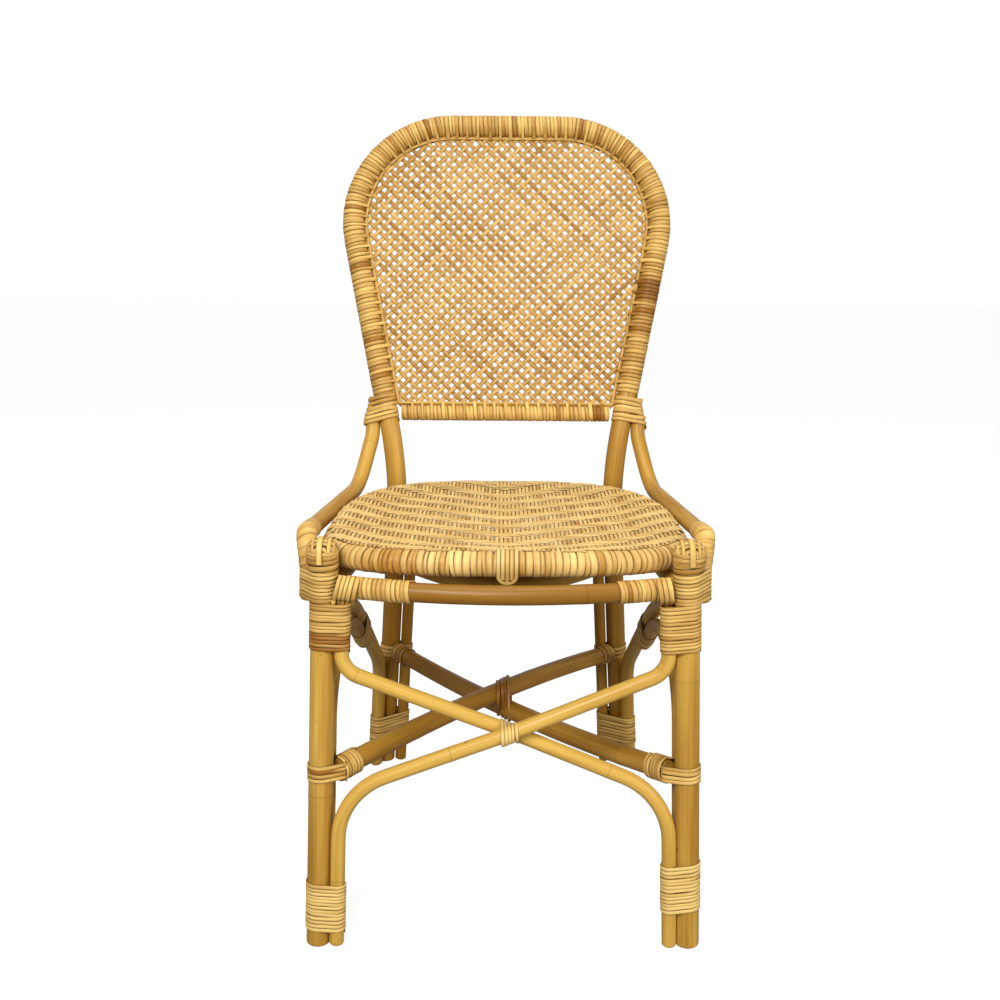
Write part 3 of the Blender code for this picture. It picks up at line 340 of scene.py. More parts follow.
def piece(name, tubes, finish, nodes):
    """One mesh from tubes of rings, each a dict of points, grain, tone and edge, with outward faces.

    grain is the place in the straightened piece (two across, one along), tone 0 pale to 1 deep, in places
    deeper as painted shade, edge 0 on the crown to 1 in the gap between strips: painted shade there, together
    with node grooves and knots.
    """
    points, grain, tone, edge, loops, totals, base = [], [], [], [], [], [], 0
    for tube in tubes:
        grid = np.asarray(tube["points"])
        rows, columns = grid.shape[:2]
        flat = grid.reshape(-1, 3)
        quads, caps = grid_faces(rows, columns, tube.get("closed", False))
        if volume(flat - flat.mean(0), quads, caps) < 0:
            quads, caps = quads[:, ::-1], [cap[::-1] for cap in caps]
        loops += [(quads + base).ravel()] + [cap + base for cap in caps]
        totals += [np.full(len(quads), 4)] + [np.array([columns])] * len(caps)
        points.append(flat)
        grain.append(np.broadcast_to(tube["grain"], grid.shape).reshape(-1, 3))
        tone.append(np.broadcast_to(tube["tone"], grid.shape[:2]).ravel())
        edge.append(np.broadcast_to(tube.get("edge", 0.0), grid.shape[:2]).ravel())
        base += len(flat)
    loops, totals = np.concatenate(loops), np.concatenate(totals)
    mesh = bpy.data.meshes.new(name)
    mesh.vertices.add(base)
    mesh.vertices.foreach_set("co", np.vstack(points).astype(np.float32).ravel())
    mesh.loops.add(len(loops))
    mesh.loops.foreach_set("vertex_index", loops.astype(np.int32))
    mesh.polygons.add(len(totals))
    mesh.polygons.foreach_set("loop_start", np.concatenate([[0], totals.cumsum()[:-1]]).astype(np.int32))
    mesh.update(calc_edges=True)
    for word, kind, values in (
        ("grain", "FLOAT_VECTOR", np.vstack(grain)), ("tone", "FLOAT", np.concatenate(tone)),
        ("edge", "FLOAT", np.concatenate(edge)),
    ):
        layer = mesh.attributes.new(word, kind, "POINT")
        part = "vector" if kind == "FLOAT_VECTOR" else "value"
        layer.data.foreach_set(part, values.astype(np.float32).ravel())
    mesh.shade_smooth()
    mesh.set_sharp_from_angle(angle=math.radians(65))
    mesh.materials.append(finish)
    made = placed(name, mesh)
    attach(made, "root")
    if nodes:
        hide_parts(*nodes)


def rounded(distance, radius, soft):
    """A pole's radius near its sawn end: it falls on a quarter circle over the last soft metres."""
    inside = np.clip(distance, 0, soft)
    return radius - soft + np.sqrt(soft**2 - (soft - inside) ** 2)


def pole(run, diameter, seed, tone=0.4, soft=0.0012, foot=0.0, thinned=None):
    """A smooth pole: r(s) = radius (1 + swell sum exp(-((s - node) / 7 mm)^2)), with a fine groove at nodes.

    tone is a number or a function of height; over 1 it darkens the pole further, as painted shade. thinned
    gives the share of its radius left at a height.
    """
    rng = np.random.default_rng(seed)
    gaps = rng.uniform(0.17, 0.30, 12)
    knots = gaps.cumsum() - 0.12
    knots = knots[knots < run.length - 0.02]
    near = np.array([-0.006, -0.003, -0.0012, -0.0006, 0, 0.0006, 0.0012, 0.003, 0.006])
    ends = np.array([0, 0.06, 0.2, 0.45, 0.75, 1]) * max(soft, foot)
    s = np.concatenate([run.s, (knots[:, None] + near).ravel()])
    if not run.closed:
        s = np.concatenate([s, ends, run.length - ends])
    s = np.unique(np.clip(s, 0, run.length).round(6))
    if run.closed:
        s = s[:-1]
    radius = np.full(len(s), diameter / 2)
    groove = np.zeros(len(s))
    for knot in knots:
        radius += diameter / 2 * SWELL * np.exp(-(((s - knot) / SWELL_WIDE) ** 2))
        groove += np.exp(-(((s - knot) / GROOVE_WIDE) ** 2))
    radius -= GROOVE * groove
    if not run.closed:
        radius += rounded(s, 0, max(soft, foot)) + rounded(run.length - s, 0, max(soft, foot))
    turn = np.arange(SIDES) * 2 * math.pi / SIDES
    centre, one, two = run.at(s)
    tone = tone(centre[:, 2]) if callable(tone) else np.full(len(s), tone)
    if thinned:
        radius *= thinned(centre[:, 2])
    ring = np.cos(turn)[:, None] * one[:, None] + np.sin(turn)[:, None] * two[:, None]
    points = centre[:, None] + ring * radius[:, None, None]
    shift = rng.uniform(0, 5)
    grain = stacked(np.cos(turn) * diameter / 2, np.sin(turn) * diameter / 2, (s + shift)[:, None])
    # edge: the node grooves, plus painted shade where the tone is over 1
    return dict(
        points=points, grain=grain, closed=run.closed,
        tone=(tone + 0.16 * np.sin(s * 9 + shift * 7))[:, None],
        edge=(0.4 * np.minimum(groove, 1) + np.maximum(tone - 1, 0))[:, None],
    )


# A strip cut across, in widths and thicknesses: half round on a flat back, oval for the woven back's
# strands, flat for the woven seat's, and a broader ribbon for the rim and the tongue
STRIP = np.array([
    (-0.5, 0.0), (-0.5, 0.45), (-0.38, 0.82), (-0.13, 1.0),
    (0.13, 1.0), (0.38, 0.82), (0.5, 0.45), (0.5, 0.0),
])
OVAL = np.array([
    (-0.5, -0.16), (-0.5, 0.16), (-0.31, 0.46), (0, 0.54), (0.31, 0.46), (0.5, 0.16), (0.5, -0.16), (0, -0.5),
])
FLAT = np.array([(-0.5, -0.2), (-0.34, 0.5), (0.34, 0.5), (0.5, -0.2)])
RIBBON = np.array([
    (-0.5, 0.0), (-0.5, 0.45), (-0.44, 0.84), (-0.2, 1.0),
    (0.2, 1.0), (0.44, 0.84), (0.5, 0.45), (0.5, 0.0),
])


def gap_share(section):
    """Where painted shade falls across a strip: 1 where it meets its neighbour, 0 over its crown: ((|x| -
    0.34) / 0.16)^2.
    """
    return np.clip((np.abs(section[:, 0]) - 0.34) / 0.16, 0, 1) ** 2


def even(line, count):
    """A line's points spread evenly along its length."""
    run = lengths(line)
    at = np.linspace(0, run[-1], count)
    return np.stack([np.interp(at, run, line[:, k]) for k in range(line.shape[1])], axis=1)


def strap(points, outward, width, seed, tone=0.3, thick=PEEL_T, section=STRIP):
    """One strip laid along points with its crown turned outward: P + across w + outward t."""
    rng = np.random.default_rng(seed)
    ahead = unit(np.gradient(points, axis=0))
    outward = np.broadcast_to(outward, points.shape)
    outward = unit(outward - ahead * (outward * ahead).sum(1, keepdims=True))
    across = np.cross(ahead, outward)
    run = lengths(points)
    sizes = section * [1, thick]
    wide = np.broadcast_to(width, len(points))[:, None, None]
    ring = points[:, None] + across[:, None] * sizes[:, :1] * wide + outward[:, None] * sizes[:, 1:]
    grain = stacked(section[:, 0] * np.mean(width), sizes[:, 1], (run + rng.uniform(0, 9))[:, None])
    tone = np.broadcast_to(np.asarray(tone, float) + rng.uniform(-0.08, 0.08), len(points))
    # edge: painted shade in the gap between neighbouring strips
    return dict(points=ring, grain=grain, tone=tone[:, None], edge=gap_share(section))


def band_round(circles, first=0.0):
    """The line of a band pulled round circles (x, y, radius), from the direction first.

    At each angle it lies on the circle that reaches furthest that way. Gives its share of length,
    and each point with its outward direction.
    """
    angle = first + np.linspace(0, 2 * math.pi, 361)
    ways = np.stack([np.cos(angle), np.sin(angle)], axis=1)
    circles = np.asarray(circles, float)
    best = (ways @ circles[:, :2].T + circles[:, 2]).argmax(axis=1)
    line = circles[best, :2] + ways * circles[best, 2:]
    run = np.concatenate([[0], np.hypot(*np.diff(line, axis=0).T).cumsum()])
    return run, np.hstack([line, ways])


def eased(share):
    """A soft step from 0 to 1: 3 t^2 - 2 t^3."""
    share = np.clip(share, 0, 1)
    return share * share * (3 - 2 * share)


def winding(
    run, circles, start, end, seed, width=PEEL_W, pitch=PEEL_PITCH, thick=PEEL_T, tones=((0, 0.3),),
    jitter=0.2, vary=0.12, tied=None, every=0, first=0.0, loose=1.0, lines=1.0,
):
    """One strip of peel wound round a bundle of poles, from length start to end of the run.

    Turn k starts at the sum of the uneven pitches before it, and lies on the band round the bundle's
    circles there. Every so many turns the strip takes the tied circles instead, which bind in what lies
    beside the pole. loose scales how unevenly the turns lie, and lines the painted shade in the dark lines
    between them. A tone over 1 darkens the strip further.
    """
    rng = np.random.default_rng(seed)
    turns = max(1, round((end - start - width) / pitch))
    steps = rng.uniform(1 - vary, 1 + vary, turns)
    steps *= (end - start - width) / steps.sum()
    begins = start + width / 2 + np.concatenate([[0], steps.cumsum(), [end - start - width]])
    wide = np.append(steps, [steps[-1], steps[-1]]) * width / pitch
    whole = np.arange(turns * TURN_STEPS + 1)
    number, share = whole // TURN_STEPS, (whole % TURN_STEPS) / TURN_STEPS
    late = eased((share - 0.8) / 0.2)

    def each_turn(values):
        values = np.asarray(values)
        mix = late if values.ndim == 1 else late[:, None]
        return values[number] * (1 - mix) + values[number + 1] * mix

    table, girth = [], 0.0
    for k in range(turns + 2):
        round_here = circles(begins[min(k, turns)]) if callable(circles) else circles
        round_here = tied if every and k % every == every - 1 else round_here
        length, band = band_round(round_here, first)
        at = np.arange(TURN_STEPS) / TURN_STEPS * length[-1]
        table.append(np.stack([np.interp(at, length, band[:, k]) for k in range(4)], axis=1))
        girth = max(girth, length[-1])
    table, spoke = np.array(table), whole % TURN_STEPS
    flat = table[number, spoke] * (1 - late[:, None]) + table[number + 1, spoke] * late[:, None]
    base = begins[number] + steps[np.minimum(number, turns - 1)] * share
    wander = each_turn(rng.normal(0, WANDER * loose, turns + 2))
    tilt = each_turn(rng.normal(0, TILT * loose, turns + 2))
    turn_angle = 2 * math.pi * share
    s = base + wander + tilt * np.sin(turn_angle + number)
    raised = each_turn(rng.uniform(0, LIFT * loose, turns + 2))
    shares, values = zip(*tones)
    tone = np.interp(np.arange(turns + 2) / max(turns - 1, 1), shares, values)
    tone = each_turn(tone + rng.uniform(-jitter, jitter, turns + 2) + (rng.random(turns + 2) < 0.05) * 0.4)
    spread = s[:, None] + STRIP[:, 0] * each_turn(wide)[:, None]
    rise = SEAT + raised[:, None] + STRIP[:, 1] * thick
    x, y = flat[:, None, 0] + flat[:, None, 2] * rise, flat[:, None, 1] + flat[:, None, 3] * rise
    centre, one, two = run.at(spread)
    points = centre + one * x[..., None] + two * y[..., None]
    along = whole / TURN_STEPS * girth + rng.uniform(0, 9)
    grain = stacked(STRIP[:, 0] * width, STRIP[:, 1] * thick, along[:, None])
    # edge: painted shade in the lines between turns, scaled by lines; a tone over 1 darkens the whole strip
    darker = 0.6 * np.maximum(tone - 1, 0)[:, None]
    edge = lines * gap_share(STRIP) * (1 - darker) + darker
    return dict(points=points, grain=grain, tone=tone[:, None], edge=edge)


# Materials

def new_group(name, inputs, outputs):
    tree = bpy.data.node_groups.new(name, "ShaderNodeTree")
    for word, kind, value in inputs:
        socket = tree.interface.new_socket(word, in_out="INPUT", socket_type=kind)
        socket.default_value = value
    for word, kind in outputs:
        tree.interface.new_socket(word, in_out="OUTPUT", socket_type=kind)
    return tree, tree.nodes.new("NodeGroupInput"), tree.nodes.new("NodeGroupOutput")


def feed(tree, sockets, values):
    """Each socket takes its value, or a link from another node's output."""
    for socket, value in zip(sockets, values):
        if isinstance(value, (int, float, tuple)):
            socket.default_value = value
        else:
            tree.links.new(value, socket)


def math_node(tree, operation, first, second, clamp=False):
    made = tree.nodes.new("ShaderNodeMath")
    made.operation, made.use_clamp = operation, clamp
    feed(tree, made.inputs, (first, second))
    return made.outputs[0]


def mix_node(tree, blend, factor, first, second):
    made = tree.nodes.new("ShaderNodeMix")
    made.data_type, made.blend_type = "RGBA", blend
    feed(tree, (made.inputs[0], made.inputs[6], made.inputs[7]), (factor, first, second))
    return made.outputs[2]


def attribute(tree, name, output):
    made = tree.nodes.new("ShaderNodeAttribute")
    made.attribute_name = name
    return made.outputs[output]


def noise(tree, vector, scale, detail):
    made = tree.nodes.new("ShaderNodeTexNoise")
    made.inputs["Scale"].default_value, made.inputs["Detail"].default_value = scale, detail
    tree.links.new(vector, made.inputs["Vector"])
    return made.outputs["Fac"]


def fibre_group():
    """Lengthwise fibres, broad mottling and small dark specks, read from the grain attribute."""
    tree, given, gives = new_group(
        "Cane fibres",
        [("Across", "NodeSocketFloat", 900.0), ("Along", "NodeSocketFloat", 14.0)],
        [("Fine", "NodeSocketFloat"), ("Broad", "NodeSocketFloat"), ("Specks", "NodeSocketFloat")],
    )
    grain = attribute(tree, "grain", "Vector")

    def stretched(across, along):
        scale = tree.nodes.new("ShaderNodeCombineXYZ")
        wide = math_node(tree, "MULTIPLY", given.outputs["Across"], across)
        tree.links.new(wide, scale.inputs[0])
        tree.links.new(wide, scale.inputs[1])
        tree.links.new(math_node(tree, "MULTIPLY", given.outputs["Along"], along), scale.inputs[2])
        made = tree.nodes.new("ShaderNodeVectorMath")
        made.operation = "MULTIPLY"
        tree.links.new(grain, made.inputs[0])
        tree.links.new(scale.outputs[0], made.inputs[1])
        return made.outputs[0]

    tree.links.new(noise(tree, stretched(1.0, 1.0), 1.0, 4.0), gives.inputs["Fine"])
    tree.links.new(noise(tree, stretched(0.10, 0.6), 1.0, 2.0), gives.inputs["Broad"])
    speck = noise(tree, stretched(0.45, 9.0), 1.0, 1.0)
    sharp = math_node(tree, "MULTIPLY", math_node(tree, "SUBTRACT", speck, 0.73), 14.0, clamp=True)
    tree.links.new(sharp, gives.inputs["Specks"])
    return tree


def cane_colour_group():
    """Pale to deep by tone and mottling, streaked by the fibres, dark at specks and by the edge attribute,
    which holds painted shade in gaps, node grooves and knots.
    """
    tree, given, gives = new_group(
        "Cane colour",
        [
            ("Pale", "NodeSocketColor", (0.8, 0.56, 0.24, 1)),
            ("Deep", "NodeSocketColor", (0.5, 0.27, 0.06, 1)),
            ("Dark", "NodeSocketColor", (0.12, 0.05, 0.012, 1)),
            ("Fine", "NodeSocketFloat", 0.5),
            ("Broad", "NodeSocketFloat", 0.5),
            ("Specks", "NodeSocketFloat", 0.0),
            ("Streak strength", "NodeSocketFloat", 0.5),
            ("Gap strength", "NodeSocketFloat", 0.6),
        ],
        [("Colour", "NodeSocketColor")],
    )
    swing = math_node(tree, "MULTIPLY", math_node(tree, "SUBTRACT", given.outputs["Broad"], 0.5), 1.3)
    share = math_node(tree, "ADD", attribute(tree, "tone", "Fac"), swing, clamp=True)
    base = mix_node(tree, "MIX", share, given.outputs["Pale"], given.outputs["Deep"])
    short = math_node(tree, "SUBTRACT", given.outputs["Fine"], 0.42)
    fall = math_node(tree, "MULTIPLY", short, 3.2, clamp=True)
    streaked = mix_node(
        tree, "MULTIPLY", math_node(tree, "MULTIPLY", fall, given.outputs["Streak strength"]), base,
        (0.62, 0.47, 0.30, 1),
    )
    # The edge attribute darkens towards Dark: painted shade in the gaps between strips and on poles whose
    # tone is over 1, with node grooves and knots
    gap = math_node(tree, "MULTIPLY", attribute(tree, "edge", "Fac"), given.outputs["Gap strength"])
    spotted = math_node(tree, "MAXIMUM", gap, math_node(tree, "MULTIPLY", given.outputs["Specks"], 0.75))
    final = mix_node(tree, "MIX", spotted, streaked, given.outputs["Dark"])
    tree.links.new(final, gives.inputs["Colour"])
    return tree


FIBRES, CANE_COLOUR = fibre_group(), cane_colour_group()


def new_material(name):
    made = bpy.data.materials.new(name)
    made.use_nodes = True
    return made, made.node_tree, made.node_tree.nodes["Principled BSDF"]


def cane(name, pale, deep, dark, across, along, streak, gap, rough, coat):
    """A varnished cane finish: Principled in the material, its colour and fibres from the groups."""
    made, tree, shader = new_material(name)
    fibres = tree.nodes.new("ShaderNodeGroup")
    fibres.node_tree = FIBRES
    fibres.inputs["Across"].default_value, fibres.inputs["Along"].default_value = across, along
    colour = tree.nodes.new("ShaderNodeGroup")
    colour.node_tree = CANE_COLOUR
    for word, value in (("Pale", pale), ("Deep", deep), ("Dark", dark)):
        colour.inputs[word].default_value = (*value, 1)
    colour.inputs["Streak strength"].default_value = streak
    colour.inputs["Gap strength"].default_value = gap
    for word in ("Fine", "Broad", "Specks"):
        tree.links.new(fibres.outputs[word], colour.inputs[word])
    tree.links.new(colour.outputs["Colour"], shader.inputs["Base Color"])
    worn = math_node(tree, "ADD", math_node(tree, "MULTIPLY", fibres.outputs["Fine"], 0.22), rough - 0.11)
    tree.links.new(worn, shader.inputs["Roughness"])
    ridges = tree.nodes.new("ShaderNodeBump")
    ridges.inputs["Strength"].default_value, ridges.inputs["Distance"].default_value = 0.25, 0.0004
    tree.links.new(fibres.outputs["Fine"], ridges.inputs["Height"])
    tree.links.new(ridges.outputs["Normal"], shader.inputs["Normal"])
    shader.inputs["Coat Weight"].default_value = coat
    shader.inputs["Coat Roughness"].default_value = 0.25
    shader.inputs["Specular IOR Level"].default_value = 0.26
    return made


# gap: how strongly the edge attribute, mostly painted shade in the gaps, darkens each finish towards its dark
# colour
POLE = cane(
    "Varnished pole", (0.70, 0.43, 0.080), (0.37, 0.170, 0.012), (0.10, 0.032, 0.003),
    across=700, along=9, streak=0.55, gap=0.8, rough=0.42, coat=0.09,
)
PEEL = cane(
    "Split peel", (0.84, 0.55, 0.155), (0.33, 0.13, 0.010), (0.045, 0.014, 0.002),
    across=1600, along=22, streak=0.50, gap=0.90, rough=0.44, coat=0.07,
)
PALE = cane(
    "Pale peel", (0.88, 0.61, 0.20), (0.52, 0.26, 0.04), (0.07, 0.025, 0.004),
    across=1600, along=22, streak=0.42, gap=0.85, rough=0.45, coat=0.10,
)
WOVEN = cane(
    "Woven back", (0.76, 0.475, 0.135), (0.38, 0.18, 0.020), (0.06, 0.020, 0.003),
    across=1500, along=26, streak=0.50, gap=0.85, rough=0.50, coat=0.06,
)
SEAT_PEEL = cane(
    "Woven seat", (0.88, 0.62, 0.22), (0.48, 0.23, 0.035), (0.06, 0.020, 0.003),
    across=1500, along=26, streak=0.62, gap=1.00, rough=0.46, coat=0.07,
)


# Centrelines of the poles, as the frame has them. Only the stretchers' rear ends, the arm poles' tops and
# the front rail's height follow the photo more closely than the frame does.

def flat_footed(path):
    """A last short upright run, so that the pole's cut foot lies flat on the floor."""
    return np.vstack([path[:1], path[:1] + [0, 0, FOOT_STUB], path[1:]])


def up_and_over(corners, bends):
    """A pole up the left, over and down the right, from the corners and bends of its right half."""
    return bent([mirrored(p, -1) for p in corners] + corners[::-1], bends + bends[::-1])


def hoop_path():
    path = up_and_over([spot(*REAR_FOOT), spot(*WAIST), spot(*SHOULDER)], [WAIST_BEND, SHOULDER_BEND])
    return flat_footed(flat_footed(path)[::-1])[::-1]


def arm_tuck(z):
    off = LEG_R + ARM_R + 2 * SEAT
    return front_leg_at(z) + np.array([math.cos(ARM_TUCK_ANGLE), math.sin(ARM_TUCK_ANGLE), 0]) * off


def arm_end_radius(z):
    """The arm pole's radius at height z near its top: it thins to a share of itself over its tip."""
    return ARM_R * (1 - (1 - ARM_TIP_SHARE) * eased((z - ARM_TOP_Z + ARM_TIP) / ARM_TIP))


def arm_path():
    beside = np.array([(LEG_R + ARM_R + 3 * SEAT) / math.cos(LEAN), 0, 0])
    tip = np.array([(LEG_R + ARM_R * ARM_TIP_SHARE + 3 * SEAT) / math.cos(LEAN), 0, 0])
    corners = [
        back_at(ARM_TOP_Z) + tip, back_at(ARM_LEAVE_Z) + beside, spot(*ARM_LAND), spot(*ARM_TURN),
        spot(*ELBOW), arm_tuck(ARM_TUCK_Z), arm_tuck(ARM_FOOT_Z),
    ]
    return bent(corners, [ARM_BEND, ARM_BEND, ARM_BEND, ELBOW_BEND, ARM_TUCK_BEND])


def brace_offset():
    apart = LEG_R + BRACE_R + 2 * SEAT
    return np.array([-math.sqrt(apart**2 - BRACE_FORWARD**2), -BRACE_FORWARD, 0])


def front_brace_path(side):
    heights = (BRACE_TOP_Z, BRACE_HIGH_CORNER_Z, BRACE_LOW_CORNER_Z, BRACE_FOOT_LIFT)
    high, high_corner, low_corner, foot = (front_leg_at(z) + brace_offset() for z in heights)
    upper, lower = mirrored(high_corner, side), mirrored(low_corner, -side)
    middle = (upper + lower) / 2 + np.array([0, -side * (BRACE_R + SEAT), 0])
    corners = [mirrored(high, side), upper, middle, lower, mirrored(foot, -side)]
    return bent(corners, [BRACE_HIGH_BEND, BRACE_CROSS_BEND, BRACE_LOW_BEND])


def side_brace_offset():
    apart = LEG_R + SIDE_BRACE_D / 2 + 3 * SEAT
    return np.array([SIDE_FOOT_OUT, -math.sqrt(apart**2 - SIDE_FOOT_OUT**2), 0])


def arch_offset():
    apart = FRAME_LASHED_R + SIDE_ARCH_D / 2 + SEAT
    return np.array([-ARCH_IN, math.sqrt(apart**2 - ARCH_IN**2), 0])


def side_brace_corners():
    dip = math.atan2(SIDE_TOP_Z - SIDE_CROWN_Z, SIDE_CROWN_Y)
    behind = FRAME_LASHED_R + SIDE_BRACE_D / 2 * math.sin(dip) + 2 * SEAT
    top = front_leg_at(SIDE_TOP_Z) + np.array([0, behind, 0])
    low = rear_leg_at(SIDE_LOW_Z) + side_brace_offset()
    crown = spot(top[0] + (low[0] - top[0]) * SIDE_CROWN_Y / REAR_FOOT[1], SIDE_CROWN_Y, SIDE_CROWN_Z)
    return [top, crown, low, rear_leg_at(BRACE_FOOT_LIFT) + side_brace_offset()]


def side_fall(y):
    """The point at depth y on the side brace's straight run down to the rear leg."""
    _, crown, low, _ = side_brace_corners()
    return crown + (low - crown) * ((y + FRONT_Y - crown[1]) / (low[1] - crown[1]))


def arch_drop():
    apart = (SIDE_BRACE_D + SIDE_ARCH_D) / 2 + 2 * SEAT
    _, crown, low, _ = side_brace_corners()
    run = unit(low - crown)
    return unit(np.array([0, run[2], -run[1]])) * apart


def side_arch_path():
    beside = arch_offset()
    crown, end = side_fall(ARCH_CROWN_Y) + arch_drop(), side_fall(ARCH_END_Y) + arch_drop()
    corners = [front_leg_at(BRACE_FOOT_LIFT) + beside, front_leg_at(ARCH_CORNER_Z) + beside, crown, end]
    return bent(corners, [ARCH_BEND, ARCH_CROWN_BEND])


def side_rail_ends():
    front = front_leg_at(SIDE_RAIL_Z) + np.array([-SIDE_RAIL_IN, FRAME_LASHED_R + ARM_R / 2 + 3 * SEAT, 0])
    rear = rear_leg_at(SIDE_RAIL_Z) - np.array([0, LEG_R / math.cos(LEAN) + 3 * SEAT, 0])
    return np.array([front, rear])


def rear_arch_offset():
    return np.array([-(LEG_R + REAR_ARCH_D / 2 + 3 * SEAT), 0, 0])


def rear_arch_path():
    beside = rear_arch_offset()
    foot, high = rear_leg_at(BRACE_FOOT_LIFT) + beside, rear_leg_at(REAR_ARCH_KNEE_Z) + beside
    corner = spot((rear_leg_at(REAR_ARCH_Z) + beside)[0], REAR_ARCH_Y, REAR_ARCH_Z)
    return up_and_over([foot, high, corner], [WAIST_BEND, REAR_ARCH_BEND])


def front_rail_path():
    slant = math.atan2(4 * FRONT_RAIL_BOW, 2 * FRONT_TOP_HALF)
    end = front_leg_at(FRONT_RAIL_Z) - np.array([FRAME_LASHED_R + RAIL_R * math.sin(slant) / 2 + SEAT, 0, 0])
    return bowed(mirrored(end, -1), end, (0, -FRONT_RAIL_BOW, 0))


def seat_bow_path():
    front, rear = side_rail_ends()
    rail = front + (rear - front) * ((SEAT_BOW_Y + FRONT_Y - front[1]) / (rear[1] - front[1]))
    end = rail - unit(np.array([rail[0], 0, 2 * SEAT_BOW_SAG])) * (SIDE_RAIL_D / 2 + 2 * SEAT)
    return bowed(mirrored(end, -1), end, (0, 0, -SEAT_BOW_SAG))


def back_rail_end():
    """The right end of the rail under the woven back, just short of the back frame's winding."""
    end = back_at(BACK_RAIL_Z)
    end[0] -= FRAME_LASHED_R / math.cos(SPLAY) + BACK_RAIL_D / 2 * math.tan(SPLAY) + 4 * SEAT
    return end


def stretcher_path(side):
    front = mirrored(front_leg_at(STRETCHER_FRONT_Z), side)
    rear = mirrored(rear_leg_at(STRETCHER_REAR_Z), -side)
    along = unit(rear - front)
    aside = unit(np.array([along[1], -along[0], 0])) * (STRETCHER_ASIDE * -side)
    clear = FRAME_LASHED_R + 2 * SEAT
    start, end = front + aside + along * clear, rear - along * (clear + STRETCHER_SHORT)
    return bowed(start, end, (0, 0, -side * STRETCHER_RISE))


SEAT_MIDDLE_Y = (SEAT_BACK_Y + SEAT_FRONT_Y) / 2
SEAT_WIDEST = SEAT_WIDEST_Y - SEAT_MIDDLE_Y


def seat_shape(y, inset):
    """Depth and exponent of the seat's outline on either side of its widest line, at local depth y."""
    ahead = y < SEAT_WIDEST
    deep = np.where(ahead, SEAT_WIDEST_Y - SEAT_FRONT_Y, SEAT_BACK_Y - SEAT_WIDEST_Y) - inset
    return deep, np.where(ahead, FRONT_SQUARENESS, REAR_SQUARENESS)


def seat_loop(inset, count=240):
    """The seat's outline |x/a|^n + |y/b|^n = 1 from its widest line, drawn in by inset, as even points."""
    angle = np.linspace(0, 2 * math.pi, 2881)
    a = SEAT_HALF - inset
    b, n = seat_shape(SEAT_WIDEST + np.sin(angle), inset)
    x = a * np.sign(np.cos(angle)) * np.abs(np.cos(angle)) ** (2 / n)
    y = SEAT_WIDEST + b * np.sign(np.sin(angle)) * np.abs(np.sin(angle)) ** (2 / n)
    run = np.concatenate([[0], np.hypot(np.diff(x), np.diff(y)).cumsum()])
    at = np.arange(count) * run[-1] / count
    return np.stack([np.interp(at, run, x), np.interp(at, run, y), np.zeros(count)], axis=1)


def seat_place(points):
    """Points of the seat's own plane, put where the seat is: it falls slightly to the back."""
    fall = math.tan(SEAT_FALL) * (SEAT_MIDDLE_Y - SEAT_FRONT_Y)
    points = np.asarray(points, float)
    x, y, z = points[..., 0], points[..., 1], points[..., 2]
    cos, sin = math.cos(SEAT_FALL), math.sin(SEAT_FALL)
    return stacked(x, FRONT_Y + SEAT_MIDDLE_Y + y * cos + z * sin, SEAT_RING_Z - fall - y * sin + z * cos)


# Poles

def hoop_tone_with_shade(z):
    """The back frame's tone: deeper below the seat than over it, as painted shade under the seat."""
    return 0.6 + 0.48 * eased((0.45 - z) / 0.05)


